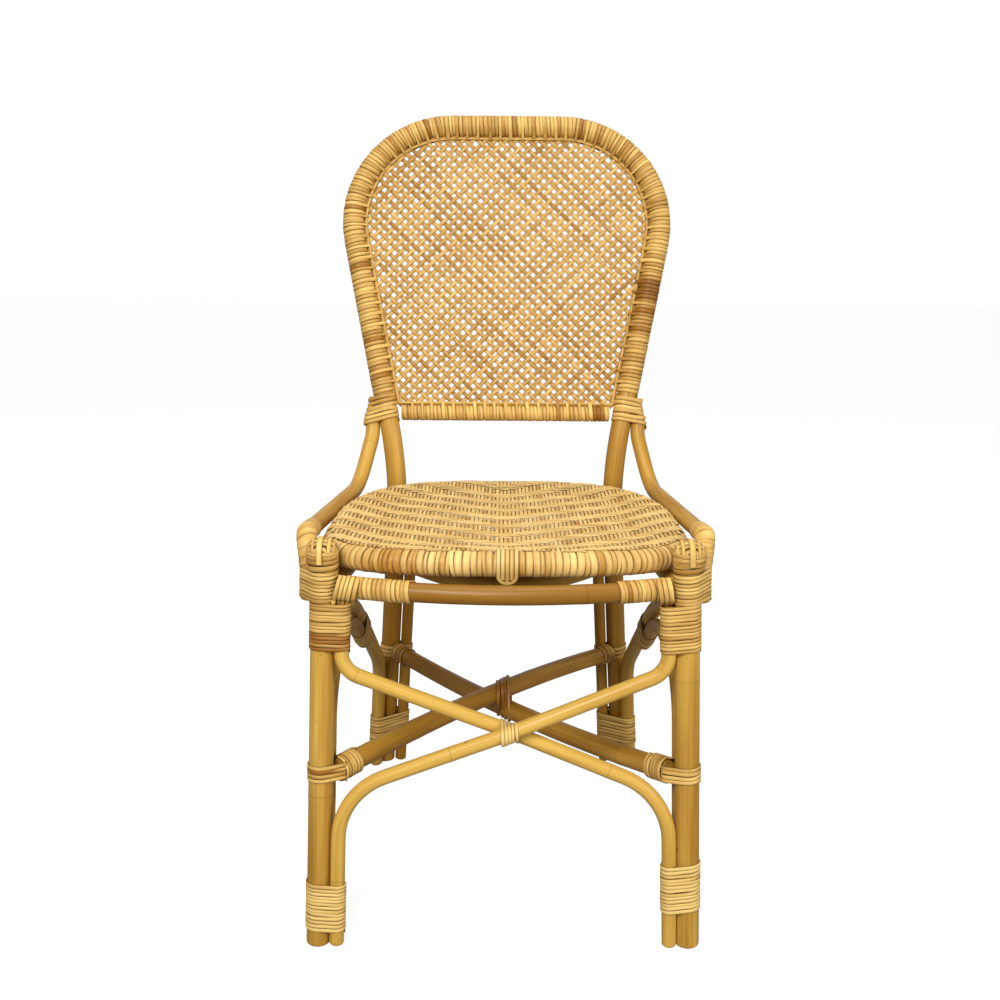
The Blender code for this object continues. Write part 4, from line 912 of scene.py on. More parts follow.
def make_poles():
    """Every bare pole, each standing for its node of the frame."""
    def one(name, tube, node):
        piece(name, [tube], POLE, [node])

    one("hoop_pole", pole(Run(hoop_path()), LEG_D, 1, hoop_tone_with_shade, foot=0.0025), "back_hoop")
    end = back_rail_end()
    one("back_rail_pole", pole(Run([mirrored(end, -1), end], (0, 0, 1)), BACK_RAIL_D, 2), "back_rail")
    # The front rail's tone over 1 is painted shade under the seat's rim
    one("front_rail_pole", pole(Run(front_rail_path(), (0, 0, 1)), RAIL_D, 3, 1.4), "front_rail")
    # The rear arch's tone over 1 is painted shade under the seat
    one("rear_arch_pole", pole(Run(rear_arch_path(), (0, 1, 0)), REAR_ARCH_D, 4, 1.1), "rear_arch")
    one("seat_bow_pole", pole(Run(seat_bow_path(), (0, 1, 0)), SEAT_BOW_D, 5, 0.9), "seat_bow")
    ring = seat_place(seat_loop(SEAT_RING_D / 2 + SEAT + SEAT_SKIN_T))
    one("seat_ring_pole", pole(Run(ring, (0, 0, 1), True), SEAT_RING_D, 6), "seat_ring")
    low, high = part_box("seat_spine")
    height = (low.z + high.z) / 2
    fall = math.tan(SEAT_FALL) * (high.y - low.y) / 2
    spine = [(0, low.y, height + fall), (0, high.y, height - fall)]
    one("seat_spine_pole", pole(Run(spine), SEAT_SPINE_D, 7), "seat_spine")
    for side, word in BOTH_SIDES:
        seed = 20 + 10 * side
        leg = flat_footed(np.array([mirrored(front_leg_at(z), side) for z in (0, LEG_TOP_Z)]))
        brace = bent(side_brace_corners(), [SIDE_CROWN_BEND, SIDE_LOW_BEND])
        poles = (
            ("front_leg", leg, LEG_D, 0.45, 0.0025),
            ("arm_pole", mirrored(arm_path(), side), ARM_D, 0.62, 0),
            ("front_brace_from", front_brace_path(side), BRACE_D, 0.08, 0.003),
            ("side_brace", mirrored(brace, side), SIDE_BRACE_D, 0.5, 0.003),
            ("side_arch", mirrored(side_arch_path(), side), SIDE_ARCH_D, 0.6, 0.003),
            ("side_rail", mirrored(side_rail_ends(), side), SIDE_RAIL_D, 0.5, 0),
            ("stretcher_from", stretcher_path(side), STRETCHER_D, 0.95, 0),
        )
        for k, (node, path, diameter, tone, foot) in enumerate(poles):
            out = (1, 0, 0) if abs(path[-1][2] - path[0][2]) > 0.15 else (0, 0, 1)
            thinned = (lambda z: arm_end_radius(z) / ARM_R) if node == "arm_pole" else None
            tube = pole(Run(path, out), diameter, seed + k, tone, foot=foot, thinned=thinned)
            one(f"{node}_{word}_smooth", tube, f"{node}_{word}")


# Windings of peel

def upright(at, low, high, side):
    """A straight run up a leg or the back frame, whose circles read x to the right and y to the back."""
    return Run([mirrored(at(low), side), mirrored(at(high), side)])


def lashed(name, tube, finish=PEEL):
    """A winding as one piece, in the place of the frame's node of that name."""
    piece(f"{name}_peel", [tube], finish, [name])


def make_post_windings():
    """Everything wound round the legs and the sides of the back, with the poles lashed beside them."""
    brace, arch, side_brace, rear = brace_offset(), arch_offset(), side_brace_offset(), rear_arch_offset()
    tuck = arm_tuck(0) - front_leg_at(0)

    def waist(s):
        z = WAIST_LASH[0] + s - SPARE
        radius = float(arm_end_radius(z))
        return [(LEG_R + radius + 3 * SEAT, 0, radius)]

    beside_brace, beside_rear = [(brace[0], brace[1], BRACE_R)], [(rear[0], rear[1], REAR_ARCH_D / 2)]
    beside_front = beside_brace + [(arch[0], arch[1], SIDE_ARCH_D / 2)]
    beside_foot = [(side_brace[0], side_brace[1], SIDE_BRACE_D / 2)] + beside_rear
    beside_arm = [(tuck[0], tuck[1], ARM_R)]
    # Tones along each lashing: pale on the front feet, deeper on the rear legs
    front_pale, rear_deep, plain = ((0, 0.1), (1, 0.15)), ((0, 0.5), (1, 0.4)), ((0, 0.3),)
    post = {-1: ((0, 0.95), (0.34, 0.9), (0.40, 0.45), (1, 0.4)), 1: ((0, 0.4), (1, 0.35))}
    top, band = ((0, 0.45), (1, 0.2)), ((0, 0.35),)
    # Node, heights, pole, pitch, tones, looseness, and the poles lashed beside it
    bundles = (
        ("front_foot_lashing", FRONT_FOOT_LASH, front_leg_at, 0.0043, front_pale, 1.9, beside_front),
        ("rear_foot_lashing", REAR_FOOT_LASH, rear_leg_at, 0.0050, rear_deep, 1.5, beside_foot),
        ("post_lashing", POST_LASH, front_leg_at, 0.0041, post, 1.2, beside_brace),
        ("post_wrap", POST_WRAP, front_leg_at, 0.0043, top, 1.3, beside_arm),
        ("waist_lashing", WAIST_LASH, back_at, 0.0062, plain, 2.2, waist),
        ("front_joint_band", FRONT_BAND, front_leg_at, 0.0052, band, 1.4, []),
        ("rear_joint_band", REAR_BAND, rear_leg_at, 0.0050, rear_deep, 1.4, beside_rear),
    )
    for side, word in BOTH_SIDES:
        ends = stretcher_path(side)
        ahead = unit(ends[1] - ends[0])
        start = ends[0] - mirrored(front_leg_at(STRETCHER_FRONT_Z), side)
        across = np.array([-ahead[1], ahead[0], 0]) * (STRETCHER_R - END_CORNER_R)
        corners = [start - ahead * 0.003 + across * way for way in (1, -1)]
        for k, (name, reach, at, pitch, tones, loose, others) in enumerate(bundles):
            low, high = reach[side] if isinstance(reach, dict) else reach
            tones = tones[side] if isinstance(tones, dict) else tones

            def circles(s):
                beside = others(s) if callable(others) else others
                return [(0, 0, LEG_R)] + [(side * x, y, r) for x, y, r in beside]

            if name == "front_joint_band":
                others = [(side * x, y, END_CORNER_R) for x, y, _ in corners]
            run = upright(at, low - SPARE, high + SPARE, side)
            scale = run.length / (high - low + 2 * SPARE)
            begin, end = SPARE * scale, (high - low + SPARE) * scale
            tube = winding(
                run, circles, begin, end, 300 + 20 * side + k, 0.96 * pitch, pitch, tones=tones, loose=loose,
                jitter=0.22,
            )
            lashed(f"{name}_{word}", tube, PALE if name == "front_foot_lashing" else PEEL)


def make_crossings():
    """The lashings where two braces and two stretchers cross, and at the ends of the stretchers."""
    rise = (BRACE_HIGH_CORNER_Z - BRACE_LOW_CORNER_Z) / (
        front_leg_at(BRACE_HIGH_CORNER_Z)[0] + front_leg_at(BRACE_LOW_CORNER_Z)[0] + 2 * brace_offset()[0])
    middle = spot(CROSS_ASIDE, brace_offset()[1], (BRACE_HIGH_CORNER_Z + BRACE_LOW_CORNER_Z) / 2)
    half = np.array([CROSS_REACH, 0, 0])
    begin, end = CROSS_REACH - CROSS_LASH / 2, CROSS_REACH + CROSS_LASH / 2
    tall = BRACE_R * (math.hypot(1, rise) - 1)

    def braces(s):
        fall = rise * (s - CROSS_REACH + CROSS_ASIDE)
        return [
            (face * (BRACE_R + SEAT), face * -fall + shift, BRACE_R)
            for face in (1, -1) for shift in (-tall, tall)
        ]

    run = Run([middle - half, middle + half], (0, -1, 0))
    lashed("front_cross_lashing", winding(
        run, braces, begin, end, 350, 0.0042, 0.0041, loose=1.6, jitter=0.15, tones=((0, 0.1), (1, 0.25)),
        first=math.pi,
    ), PALE)

    first = stretcher_path(-1)
    whole = first[-1] - first[0]
    share = -first[0][0] / whole[0]
    middle = first[0] + whole * share
    slant = whole[0] / whole[1]
    deep = STRETCHER_R * (math.hypot(1, 1 / slant) - 1)

    def stretchers(s):
        behind = (s - CROSS_REACH) / slant
        return [
            (up * behind + shift, up * STRETCHER_RISE, STRETCHER_R)
            for up in (1, -1) for shift in (-deep, deep)
        ]

    run = Run([middle - half, middle + half], (0, 1, 0))
    lashed("stretcher_cross_lashing", winding(
        run, stretchers, begin, end, 351, 0.0044, 0.0046, loose=1.6, jitter=0.15, tones=((0, 1.0), (1, 0.9)),
    ))

    for side, word, other in ((-1, "left", "right"), (1, "right", "left")):
        path = stretcher_path(side)
        ahead = unit(path[-1] - path[0]) * JOINT_TUCK
        run = Run(np.vstack([path[:1] - ahead, path, path[-1:] + ahead]), (0, 0, 1))
        long = JOINT_LASH + JOINT_TUCK
        for place, start, hand, tone, over in (
            ("front", JOINT_START, word, 0.35, OVER_BAND),
            ("rear", run.length - JOINT_START - long, other, 0.75, 0),
        ):
            lashed(f"joint_lashing_{place}_{hand}", winding(
                run, [(0, 0, STRETCHER_R + over)], start, start + long, 360 + side, 0.0045, 0.0045, loose=1.6,
                tones=((0, tone),),
            ))
        ends = mirrored(np.array([side_fall(y) for y in SIDE_LASH]), side)
        apart = np.linalg.norm(arch_drop())
        run = Run(ends)
        lashed(f"side_lashing_{word}", winding(
            run, [(0, 0, SIDE_BRACE_D / 2), (0, apart, SIDE_ARCH_D / 2)], 0, run.length, 370 + side, 0.0048,
            0.0050, loose=1.4, tones=((0, 0.5),),
        ))


def make_frame_windings():
    """The close windings: over the back frame and its rail, round the elbows and the front rail's ends."""
    path, start = hoop_path(), back_at(WRAP_START_Z)
    wrapped = np.vstack([[mirrored(start, -1)], path[path[:, 2] > WRAP_START_Z], [start]])
    run = Run(wrapped, (0, -math.cos(LEAN), math.sin(LEAN)))
    tied = [(0, 0, LEG_R), (0, LEG_R + EDGE_CANE_OFF, EDGE_CANE_R)]
    stained = ((0, 0.45), (0.04, 0.5), (0.10, 0.32), (0.45, 0.42), (0.83, 0.42), (0.852, 0.5), (0.858, 1.4),
               (0.878, 1.4), (0.884, 0.75), (0.94, 0.7), (0.96, 0.45), (1, 0.4))
    lashed("back_hoop_wrap", winding(
        run, [(0, 0, LEG_R)], 0.0005, run.length - 0.0005, 401, 0.0051, 0.0053, tones=stained, jitter=0.28,
        vary=0.22, tied=tied, every=3, first=-math.pi / 2, loose=1.6, lines=0.7,
    ))

    end = back_rail_end()
    run = Run([mirrored(end, -1), end], (0, 0, 1))
    up = np.array([math.cos(LEAN), -math.sin(LEAN)]) * (BACK_RAIL_D / 2 + EDGE_CANE_OFF)
    lashed("back_rail_wrap", winding(
        run, [(0, 0, BACK_RAIL_D / 2)], 0.0003, run.length - 0.0003, 402, 0.0047, 0.0049,
        tones=((0, 0.3), (0.93, 0.35), (0.955, 1.2), (0.975, 1.0), (1, 0.4)), jitter=0.2, vary=0.3, lines=0.6,
        tied=[(0, 0, BACK_RAIL_D / 2), (up[0], up[1], EDGE_CANE_R)], every=3, first=math.pi, loose=1.4,
    ))

    for side, word in BOTH_SIDES:
        whole = Run(mirrored(arm_path(), side), (0, 0, 1))
        first = whole.s[whole.centre[:, 1] > FRONT_Y + ELBOW_WRAP_Y].max()
        last = whole.s[whole.centre[:, 2] > ARM_TUCK_Z + 0.001].max() + 0.006
        lashed(f"arm_elbow_wrap_{word}", winding(
            whole, [(0, 0, ARM_R)], first, last, 410 + side, 0.0087, 0.0088, thick=0.0008, jitter=0.08,
            lines=0.3, tones=((0, 0.45), (0.4, 0.32), (1, 0.3)),
        ))
        run = Run(front_rail_path(), (0, 0, 1))
        start, end = (0, RAIL_WRAP_LEFT) if side < 0 else (run.length - RAIL_WRAP_RIGHT, run.length)
        lashed(f"front_rail_wrap_{word}", winding(
            run, [(0, 0, RAIL_R)], start + 0.0002, end - 0.0002, 420 + side, 0.0050, 0.0051, jitter=0.2,
            lines=0.6, tones=((0, 0.45),), vary=0.2, loose=1.5,
        ))


# Woven back

BACK_FRONT = np.array([0, -math.cos(LEAN), math.sin(LEAN)])
BACK_UP = np.array([0, math.sin(LEAN), math.cos(LEAN)])


def back_place(points):
    """Points (across, up the back, out to the front) of the leaning back's plane, put in their place."""
    points = np.asarray(points, float)
    return (
        spot(0, WAIST[1], WAIST[2]) + points[..., :1] * np.array([1, 0, 0]) + points[..., 1:2] * BACK_UP
        + points[..., 2:] * BACK_FRONT
    )


def back_outline(inset):
    """The opening inside the back frame and over the rail, drawn in by inset from the bare poles."""
    path = hoop_path() - spot(0, WAIST[1], WAIST[2])
    flat = np.stack([path[:, 0], path @ BACK_UP], axis=1)
    rail = (back_at(BACK_RAIL_Z) - spot(0, WAIST[1], WAIST[2])) @ BACK_UP
    fine = even(flat, 1200)
    ahead = unit(np.gradient(fine, axis=0))
    drawn = fine + np.stack([ahead[:, 1], -ahead[:, 0]], axis=1) * (LEG_R + inset)
    low = rail + BACK_RAIL_D / 2 + inset
    drawn = drawn[(fine[:, 1] > rail) & (drawn[:, 1] > low)]
    return np.vstack([[drawn[0, 0], low], drawn, [drawn[-1, 0], low]])


def crossed_ends(outline, start, way):
    """Where a line leaves a convex outline: the two lengths along it at which it crosses an edge."""
    first, second = outline, np.roll(outline, -1, axis=0)
    normal = np.array([-way[1], way[0]])
    a, b = (first - start) @ normal, (second - start) @ normal
    crossing = np.flatnonzero((a > 0) != (b > 0))
    if len(crossing) < 2:
        return None
    share = (a / (a - b))[crossing]
    hits = ((first[crossing] + (second - first)[crossing] * share[:, None]) - start) @ way
    return hits.min(), hits.max()


def make_back_weave():
    """An over-and-under weave of two slanting sets of strands: out = +-h cos(pi q / cell) at parity i + j."""
    rng = np.random.default_rng(501)
    outline = back_outline(0.0002)
    root = math.sqrt(0.5)
    middle = np.array([0, outline[:, 1].mean()])
    for name, way, across, sign in (
        ("back_weave_rising", (root, root), (-root, root), 1),
        ("back_weave_falling", (-root, root), (root, root), -1),
    ):
        way, across = np.array(way), np.array(across)
        tubes = []
        for i in range(-BACK_STRANDS, BACK_STRANDS + 1):
            start = middle + across * i * BACK_CELL
            span = crossed_ends(outline, start, way)
            if span is None or span[1] - span[0] < 0.006:
                continue
            count = int((span[1] - span[0]) / BACK_CELL * BACK_POINTS) + 3
            q = np.linspace(span[0], span[1], count)
            bow = 0.0005 * np.sin(q * rng.uniform(30, 60) + rng.uniform(0, 6)) + rng.normal(0, 0.0003)
            out = sign * BACK_RISE * np.cos(math.pi * (q / BACK_CELL)) * (-1) ** i
            flat = start + way * q[:, None] + across * bow[:, None]
            line = back_place(np.column_stack([flat, out + 0.0002 * sign]))
            tone = rng.uniform(0.15, 0.65) + 0.16 * np.sin(q * rng.uniform(15, 45) + rng.uniform(0, 6))
            # The falling strands are deeper in tone, as painted shade
            tone = tone + (0.2 if sign < 0 else 0.0)
            width = BACK_STRAND_W * rng.uniform(0.88, 1.07)
            tubes.append(strap(line, BACK_FRONT, width, 520 + 2 * i + (sign > 0), tone, BACK_STRAND_T, OVAL))
        if sign > 0:
            tubes += edge_strands()
        piece(name, tubes, WOVEN, ["back_weave"] if sign > 0 else [])


def edge_strands():
    """Flat strands before and behind the weave along its edge, over the thin cane that it ends on."""
    def edge_line(inset, out):
        flat = back_outline(inset)
        loop = even(np.vstack([flat, flat[:1]]), EDGE_POINTS)
        return back_place(np.column_stack([loop, out]))

    made = []
    wave = 0.0004 * np.sin(np.arange(EDGE_POINTS) * 0.9)
    for k, face in enumerate((1, -1)):
        line = edge_line(EDGE_IN, np.full(EDGE_POINTS, face * EDGE_OUT) + wave * face)
        made.append(strap(line, BACK_FRONT, EDGE_W, 560 + k, 0.45, face * EDGE_T))
    # The cane behind the weave is deeper in tone than the strands, as painted shade behind them
    line = edge_line(EDGE_CANE_OFF, np.zeros(EDGE_POINTS))
    made.append(strap(line, BACK_FRONT, 2 * EDGE_CANE_R, 570, 0.6, 2 * EDGE_CANE_R, OVAL))
    return made


# Woven seat

def rim_top(y):
    """How far up the ring the rim's strips reach, at local depth y: high in front, low at sides and back."""
    return RIM_TOP_SIDE + (RIM_TOP_FRONT - RIM_TOP_SIDE) * eased((-y - 0.11) / 0.07)


def weave_inset(y):
    """How far inside the outline the weave ends, just under the strips of the rim: R (1 - cos top)."""
    return RIM_R * (1 - np.cos(rim_top(y))) - 0.0012


def seat_height(x, y):
    """Height of the seat over its ring: the ring's circle near the edge, then a shallow dish.

    The distance inside the outline is (1 - rho) / |grad rho|, where rho is 1 on the outline.
    """
    b, n = seat_shape(y, 0)
    u, v = np.abs(x / SEAT_HALF), np.abs((y - SEAT_WIDEST) / b)
    rho = np.maximum((u**n + v**n) ** (1 / n), 1e-6)
    slope = np.hypot(u ** (n - 1) / SEAT_HALF, v ** (n - 1) / b) * rho ** (1 - n)
    inside = np.maximum((1 - rho) / np.maximum(slope, 1e-6), 0)
    over = np.sqrt(np.maximum(RIM_R**2 - np.clip(RIM_R - inside, 0, RIM_R) ** 2, 0))
    dish = SEAT_DISH * eased((inside - RIM_R) / 0.06)
    return over - 0.0013 - dish


def seat_span(place, across):
    """Where a straight line over the seat meets the rim: a line to the back at x, or across at y."""
    if across:
        inset = weave_inset(place)
        deep, n = seat_shape(place, inset)
        half = (SEAT_HALF - inset) * (1 - min(1, abs((place - SEAT_WIDEST) / deep)) ** n) ** (1 / n)
        return -half, half
    ends = []
    for toward, n in ((-1.0, FRONT_SQUARENESS), (1.0, REAR_SQUARENESS)):
        inset = weave_inset(toward)
        deep = seat_shape(toward, inset)[0]
        share = 1 - min(1, abs(place / (SEAT_HALF - inset))) ** n
        ends.append(SEAT_WIDEST + toward * deep * share ** (1 / n))
    return ends


def make_seat_weave():
    """A twill whose floats meet in points down the middle: over where (j - |i| / 2) mod 8 < 4."""
    for name, upon, own, other, reach in (
        ("seat_weave_warp", 1, WARP_PITCH, WEFT_PITCH, SEAT_HALF),
        ("seat_weave_weft", -1, WEFT_PITCH, WARP_PITCH, SEAT_MIDDLE_Y - SEAT_FRONT_Y),
    ):
        tubes = []
        for i in range(-int(reach / own), int(reach / own) + 1):
            rng = np.random.default_rng(2000 + 7 * i + upon)
            first, last = seat_span(i * own, upon < 0)
            if last - first < 2 * other:
                continue
            halves = np.arange(math.ceil(first / other * 2), math.floor(last / other * 2) + 1) / 2
            steps = np.unique(np.concatenate([[first / other], halves, [last / other]]))
            low, high = np.floor(steps + 1e-6), np.ceil(steps - 1e-6)

            def over(j):
                number = j - abs(i) // TWILL_STEP if upon > 0 else i - np.abs(j) // TWILL_STEP
                return np.where(np.mod(number, TWILL) < TWILL / 2, 1.0, -1.0) * upon

            lift = SEAT_RISE * (over(low) + over(high)) / 2
            floats = (over(low) == over(high)) * (over(low) > 0)
            lift = lift + 0.00035 * floats * rng.uniform(0.3, 1.6, len(steps))
            along, aside = steps * other, i * own + rng.normal(0, 0.00016, len(steps))
            x, y = (aside, along) if upon > 0 else (along, aside)
            line = seat_place(np.column_stack([x, y, seat_height(x, y) + lift]))
            tone = rng.uniform(0.0, 0.5) + 0.14 * np.sin(along * 40 + i) + (0.18 if upon > 0 else 0.0)
            width = own * rng.uniform(0.80, 0.95)
            tubes.append(strap(line, (0, 0, 1), width, 3000 + i, tone, SEAT_STRIP_T, FLAT))
        nodes = ["seat_weave"] if upon > 0 else []
        piece(name, tubes, SEAT_PEEL, nodes)


def make_rim():
    """The seat's edge: a C of peel round the ring for each strip, leaning towards the front corners."""
    rng = np.random.default_rng(801)
    run = Run(seat_place(seat_loop(RIM_R, 360)), (0, 0, 1), True)
    tubes, at, k = [], 0.0, 0
    while at < run.length - 0.004:
        wide = min(rng.uniform(RIM_STRIP_LEAST, RIM_STRIP_MOST), run.length - at)
        centre_s = at + wide / 2
        place = run.at(centre_s)[0]
        local_y = place[1] - FRONT_Y - SEAT_MIDDLE_Y
        angle = np.linspace(math.degrees(rim_top(local_y)), RIM_UNDER, 22) * math.pi / 180
        lean = 0.30 * math.tanh(place[0] * 9) * (place[1] < FRONT_Y + 0.12)
        s = centre_s + 0.012 * lean * np.cos(angle) + rng.normal(0, 0.0005) * np.sin(angle)
        spread = s[:, None] + RIBBON[:, 0] * wide * rng.uniform(0.92, 1.0)
        centre, up, out = run.at(spread)
        radius = SEAT_RING_D / 2 + RIM_CLEAR + rng.uniform(0, 0.0006) + RIBBON[:, 1] * RIM_STRIP_T
        way = out * np.cos(angle)[:, None, None] + up * np.sin(angle)[:, None, None]
        points = centre + way * radius[None, :, None]
        tone = rng.uniform(0.18, 0.65) + 0.22 * math.sin(place[0] * 52 + 1) + (rng.random() < 0.06) * 0.4
        tone += sum(rise * math.exp(-(((place[0] - x) / wide_of) ** 2)) for x, wide_of, rise in RIM_STAINS)
        grain = stacked(RIBBON[:, 0] * wide, RIBBON[:, 1] * RIM_STRIP_T, (angle * RIM_R)[:, None] + k)
        # edge: painted shade in the gaps between the rim's strips, weaker than on other strips
        tubes.append(dict(points=points, grain=grain, tone=tone, edge=0.55 * gap_share(RIBBON)))
        at, k = at + wide, k + 1
    tubes += tongue(run)
    piece("seat_rim_peel", tubes, SEAT_PEEL, ["seat_rim_wrap"])


def tongue(run):
    """A U of peel hanging from the middle of the front rim, with three strips side by side inside it.

    Each strip keeps to the ring's circle down to 25 degrees below its front, then hangs straight on.
    """
    middle = run.near(spot(0, SEAT_FRONT_Y + RIM_R, SEAT_RING_Z))
    top, leave = math.radians(88), math.radians(-25)
    bend = (top - leave) * TONGUE_R

    def hung(shift, depth):
        centre, up, out = run.at(middle + shift)
        angle = np.maximum(top - depth / TONGUE_R, leave)[:, None]
        outward = out * np.cos(angle) + up * np.sin(angle)
        along = out * np.sin(angle) - up * np.cos(angle)
        return centre + outward * TONGUE_R + along * np.maximum(depth - bend, 0)[:, None], outward

    turn = np.linspace(0, math.pi, 17)[1:-1]
    straight = bend + TONGUE_HANG
    down = np.linspace(0, straight, 16)
    one_side = np.full(16, TONGUE_HALF)
    shift = np.concatenate([-one_side, -TONGUE_HALF * np.cos(turn), one_side])
    depth = np.concatenate([down, straight + TONGUE_ROUND * np.sin(turn), down[::-1]])
    line, outward = hung(shift, depth)
    made = [strap(line, outward, 0.0044, 880, 0.3, 0.0013, RIBBON)]
    for k in (-1, 0, 1):
        depth = np.linspace(0, straight + 0.0066 - 0.0026 * abs(k), 18)
        line, outward = hung(np.full(18, k * 0.0048), depth)
        made.append(strap(line, outward, 0.0046, 883 + k, 0.3 + 0.15 * (k % 2), 0.0011, RIBBON))
    return made


def make_knobs():
    """The knob on each front post: turns of peel round the post under a dome of crossed strips.

    The dome's height falls as H (1 - rho^2.6)^0.5 from its middle to its rim.
    """
    def dome(across, back):
        rho = np.minimum(np.hypot(across, back) / KNOB_R, 1)
        return KNOB_TALL * np.sqrt(np.maximum(1 - rho**2.6, 0))

    def over(across, back, lift):
        height = dome(across, back)
        ways = unit(np.stack([across / KNOB_R**2, back / KNOB_R**2, height / KNOB_TALL**2 + 1e-6], axis=-1))
        return np.stack([across, back, height], axis=-1) + ways * lift, ways

    rho = np.array([1.0, 0.99, 0.95, 0.85, 0.7, 0.5, 0.3, 0.1, 0.01])
    turn = np.arange(24) * 2 * math.pi / 24
    ring = rho[:, None] * (KNOB_R - KNOB_SHELL)
    shell = stacked(ring * np.cos(turn), ring * np.sin(turn), dome(ring, 0) - KNOB_SHELL)
    arc = np.sin(np.linspace(-1, 1, KNOB_POINTS) * math.pi / 2)
    angle = np.linspace(math.pi / 2, 5 * math.pi / 2, 40)
    flat = np.stack([np.cos(angle), np.sin(angle), np.zeros(40)], axis=1)
    below = np.array([0, 0, -0.0080])
    for side, word in BOTH_SIDES:
        foot = mirrored(front_leg_at(KNOB_FOOT_Z) + [KNOB_OUT, 0, 0], side)
        run = upright(front_leg_at, KNOB_BAND_Z - SPARE, KNOB_FOOT_Z + SPARE, side)
        band_end = KNOB_FOOT_Z - KNOB_BAND_Z + 0.012
        tubes = [winding(
            run, [(side * KNOB_OUT / 2, 0, LEG_R + 0.0010)], SPARE, band_end, 920 + side, 0.0056, 0.0058,
            tones=((0, 0.75), (0.5, 0.55), (1, 0.2)), loose=1.8, jitter=0.1,
        )]
        tubes.append(dict(points=foot + shell, grain=shell, tone=0.9, edge=0.5))
        for k, back in enumerate(KNOB_SIDEWAYS):
            reach = math.sqrt((0.97 * KNOB_R) ** 2 - back**2)
            line, ways = over(arc * reach, np.full(KNOB_POINTS, back), 0.0002)
            tubes.append(strap(foot + line, ways, 0.0046, 930 + 6 * side + k, 0.3 + 0.25 * (k % 2), 0.0012))
        for k, (aside, width, lift) in enumerate(KNOB_LENGTHWISE):
            reach = math.sqrt((0.98 * KNOB_R) ** 2 - aside**2)
            line, ways = over(np.full(KNOB_POINTS, aside), arc * reach, lift)
            tubes.append(strap(foot + line, ways, width, 945 + 4 * side + k, 0.2 + 0.2 * (k % 2), 0.0013))
        line, ways = over(np.full(KNOB_POINTS, 0.0008 * side), arc * KNOB_R, 0.0015)
        line = np.vstack([line[:1] + below, line, line[-1:] + below])
        ways = np.vstack([ways[:1], ways, ways[-1:]])
        tubes.append(strap(foot + line, ways, 0.0066, 950 + side, 0.1, 0.0012, RIBBON))
        for k, (height, radius, tone) in enumerate(KNOB_RINGS):
            line = flat * radius + [0, 0, height]
            tubes.append(strap(foot + line, flat, 0.0050, 990 + 4 * side + k, tone, 0.0013))
        piece(f"post_knob_{word}", tubes, PEEL, [f"post_cap_{word}"])


def joint_front(x, z, side):
    """Depth of the front of a post and its rail, bridged where they meet: a soft minimum of both fronts."""
    wound = PEEL_T + SEAT + 0.0006
    leg_x = side * (FRONT_FOOT[0] + FRONT_SLOPE[0] * z)
    reach = LEG_R + wound
    leg = -np.sqrt(np.maximum(reach**2 - (x - leg_x) ** 2, 0)) + 0.03 * (np.abs(x - leg_x) > reach)
    bow = -FRONT_RAIL_BOW * (1 - (x / FRONT_TOP_HALF) ** 2)
    reach = RAIL_R + wound
    rail = bow - np.sqrt(np.maximum(reach**2 - np.clip(z - FRONT_RAIL_Z, -reach, reach) ** 2, 0))
    return -CORNER_SOFT * np.log(np.exp(-leg / CORNER_SOFT) + np.exp(-rail / CORNER_SOFT))


def make_corner_straps():
    """Strips drawn slantwise over the corner of each post and the front rail, diving in at both ends."""
    share = np.linspace(0, 1, 22)
    for side, word in BOTH_SIDES:
        tubes = []
        for k, (start, end, width, tone) in enumerate(CORNER_SLANTS[side]):
            x = start[0] + (end[0] - start[0]) * share
            z = start[1] + (end[1] - start[1]) * share
            line = spot(0, 0, 0) + np.stack([x, joint_front(x, z, side), z], axis=1)
            line[:, 1] += CORNER_DIVE * (eased((share - 0.86) / 0.14) + eased((0.1 - share) / 0.1))
            ahead = unit(np.gradient(line, axis=0))
            outward = np.cross(np.cross(ahead, (0, -1, 0)), ahead)
            tubes.append(strap(line, outward, width, 970 + 10 * side + k, tone, 0.0014))
        piece(f"corner_straps_{word}", tubes, PEEL, [])


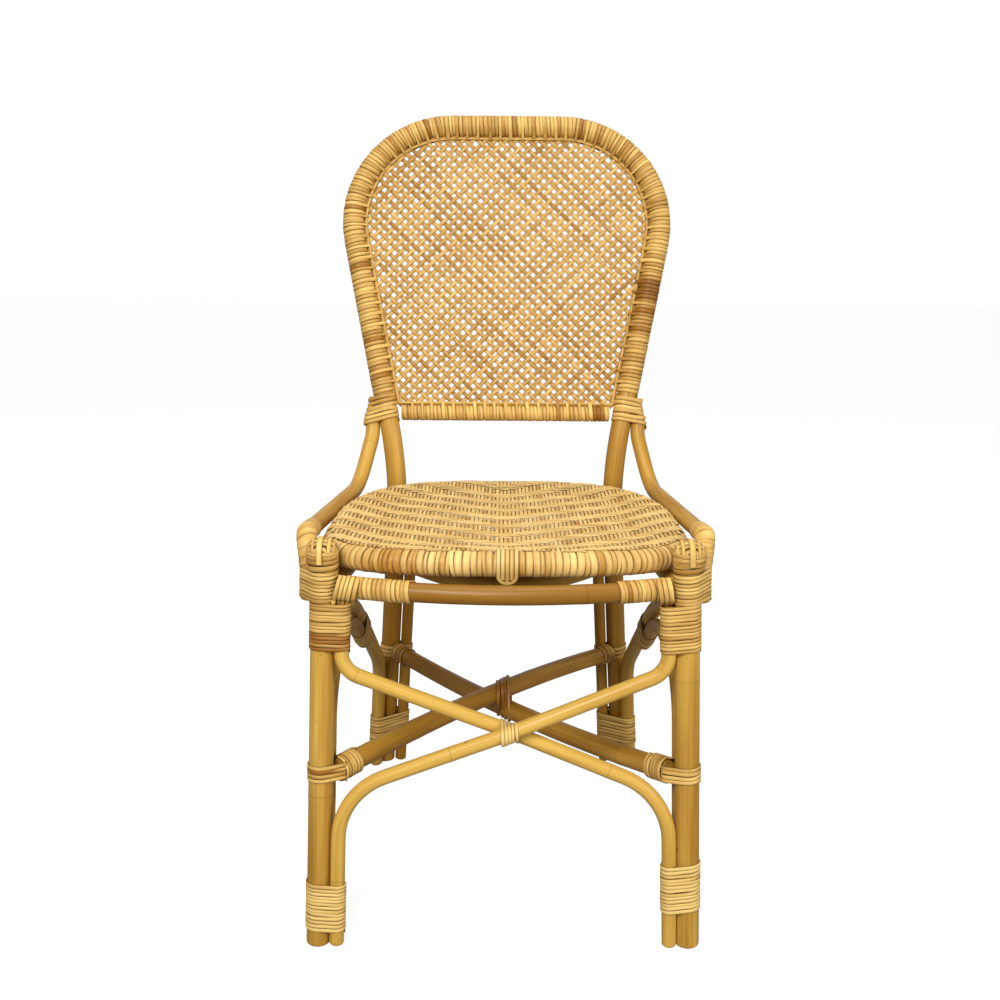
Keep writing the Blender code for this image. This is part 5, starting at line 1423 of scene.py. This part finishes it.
def make_camera():
    """The photo's camera: fitted place, heading and tilt, in chair measures, with its off-centre frame."""
    pitch, yaw, roll = (math.radians(angle) for angle in (CAMERA_TILT, CAMERA_TURN, CAMERA_ROLL))
    pivot = Vector(spot(0, CAMERA_PIVOT_Y, 0))
    turn = Matrix.Rotation(-yaw, 3, "Z")
    place = pivot + turn @ (Vector(spot(0, -CAMERA_BACK, CAMERA_Z)) - pivot)
    ahead = turn @ Vector((0, math.cos(pitch), -math.sin(pitch)))
    up = turn @ Vector((0, math.sin(pitch), math.cos(pitch)))
    right = ahead.cross(up)
    across = right * math.cos(roll) - up * math.sin(roll)
    upward = right * math.sin(roll) + up * math.cos(roll)
    camera = bpy.data.cameras.new("camera")
    camera.sensor_fit, camera.sensor_width, camera.lens = "HORIZONTAL", SENSOR, LENS_PX * SENSOR / FRAME_PX
    camera.shift_x, camera.shift_y = CAMERA_SHIFT
    made = placed("camera", camera)
    made.matrix_world = Matrix((across, upward, -ahead)).transposed().to_4x4()
    made.location = place
    bpy.context.scene.camera = made


def make_stage():
    """A pale floor that keeps the shadow, a white surround for what the camera sees, and soft lamps."""
    floor_mesh = bpy.data.meshes.new("floor")
    corners = [(x * FLOOR_REACH, y * FLOOR_REACH, FLOOR_Z) for x, y in ((-1, -1), (1, -1), (1, 1), (-1, 1))]
    floor_mesh.from_pydata(corners, [], [(0, 1, 2, 3)])
    floor = placed("floor", floor_mesh)
    finish, tree, shader = new_material("Pale floor")
    shader.inputs["Base Color"].default_value = (FLOOR_GREY, FLOOR_GREY, FLOOR_GREY, 1)
    shader.inputs["Roughness"].default_value = 0.9
    shader.inputs["Emission Color"].default_value = (1, 1, 1, 1)
    seen = tree.nodes.new("ShaderNodeLightPath")
    lift = math_node(tree, "MULTIPLY", seen.outputs["Is Camera Ray"], FLOOR_WHITE)
    tree.links.new(lift, shader.inputs["Emission Strength"])
    floor_mesh.materials.append(finish)

    world = bpy.data.worlds.new("Studio")
    bpy.context.scene.world = world
    world.use_nodes = True
    tree = world.node_tree
    ground = tree.nodes["Background"]
    ground.inputs["Color"].default_value = (1, 1, 1, 1)
    path = tree.nodes.new("ShaderNodeLightPath")
    direct = math_node(tree, "MAXIMUM", path.outputs["Is Camera Ray"], path.outputs["Is Transmission Ray"])
    glossy = math_node(tree, "MULTIPLY", path.outputs["Is Glossy Ray"], MIRRORED_WHITE)
    white = math_node(tree, "MAXIMUM", direct, glossy)
    tree.links.new(math_node(tree, "MAXIMUM", white, WORLD_FILL), ground.inputs["Strength"])

    for name, place, size, power in LAMPS:
        lamp = bpy.data.lights.new(name, "AREA")
        lamp.shape, lamp.size, lamp.energy = "DISK", size, power
        made = placed(name, lamp)
        made.location = place
        made.rotation_euler = (Vector(LAMP_AIM) - Vector(place)).to_track_quat("-Z", "Y").to_euler()


make_poles()
make_post_windings()
make_crossings()
make_frame_windings()
make_back_weave()
make_seat_weave()
make_rim()
make_knobs()
make_corner_straps()
make_stage()
make_camera()

bpy.context.scene.view_settings.view_transform = "Standard"
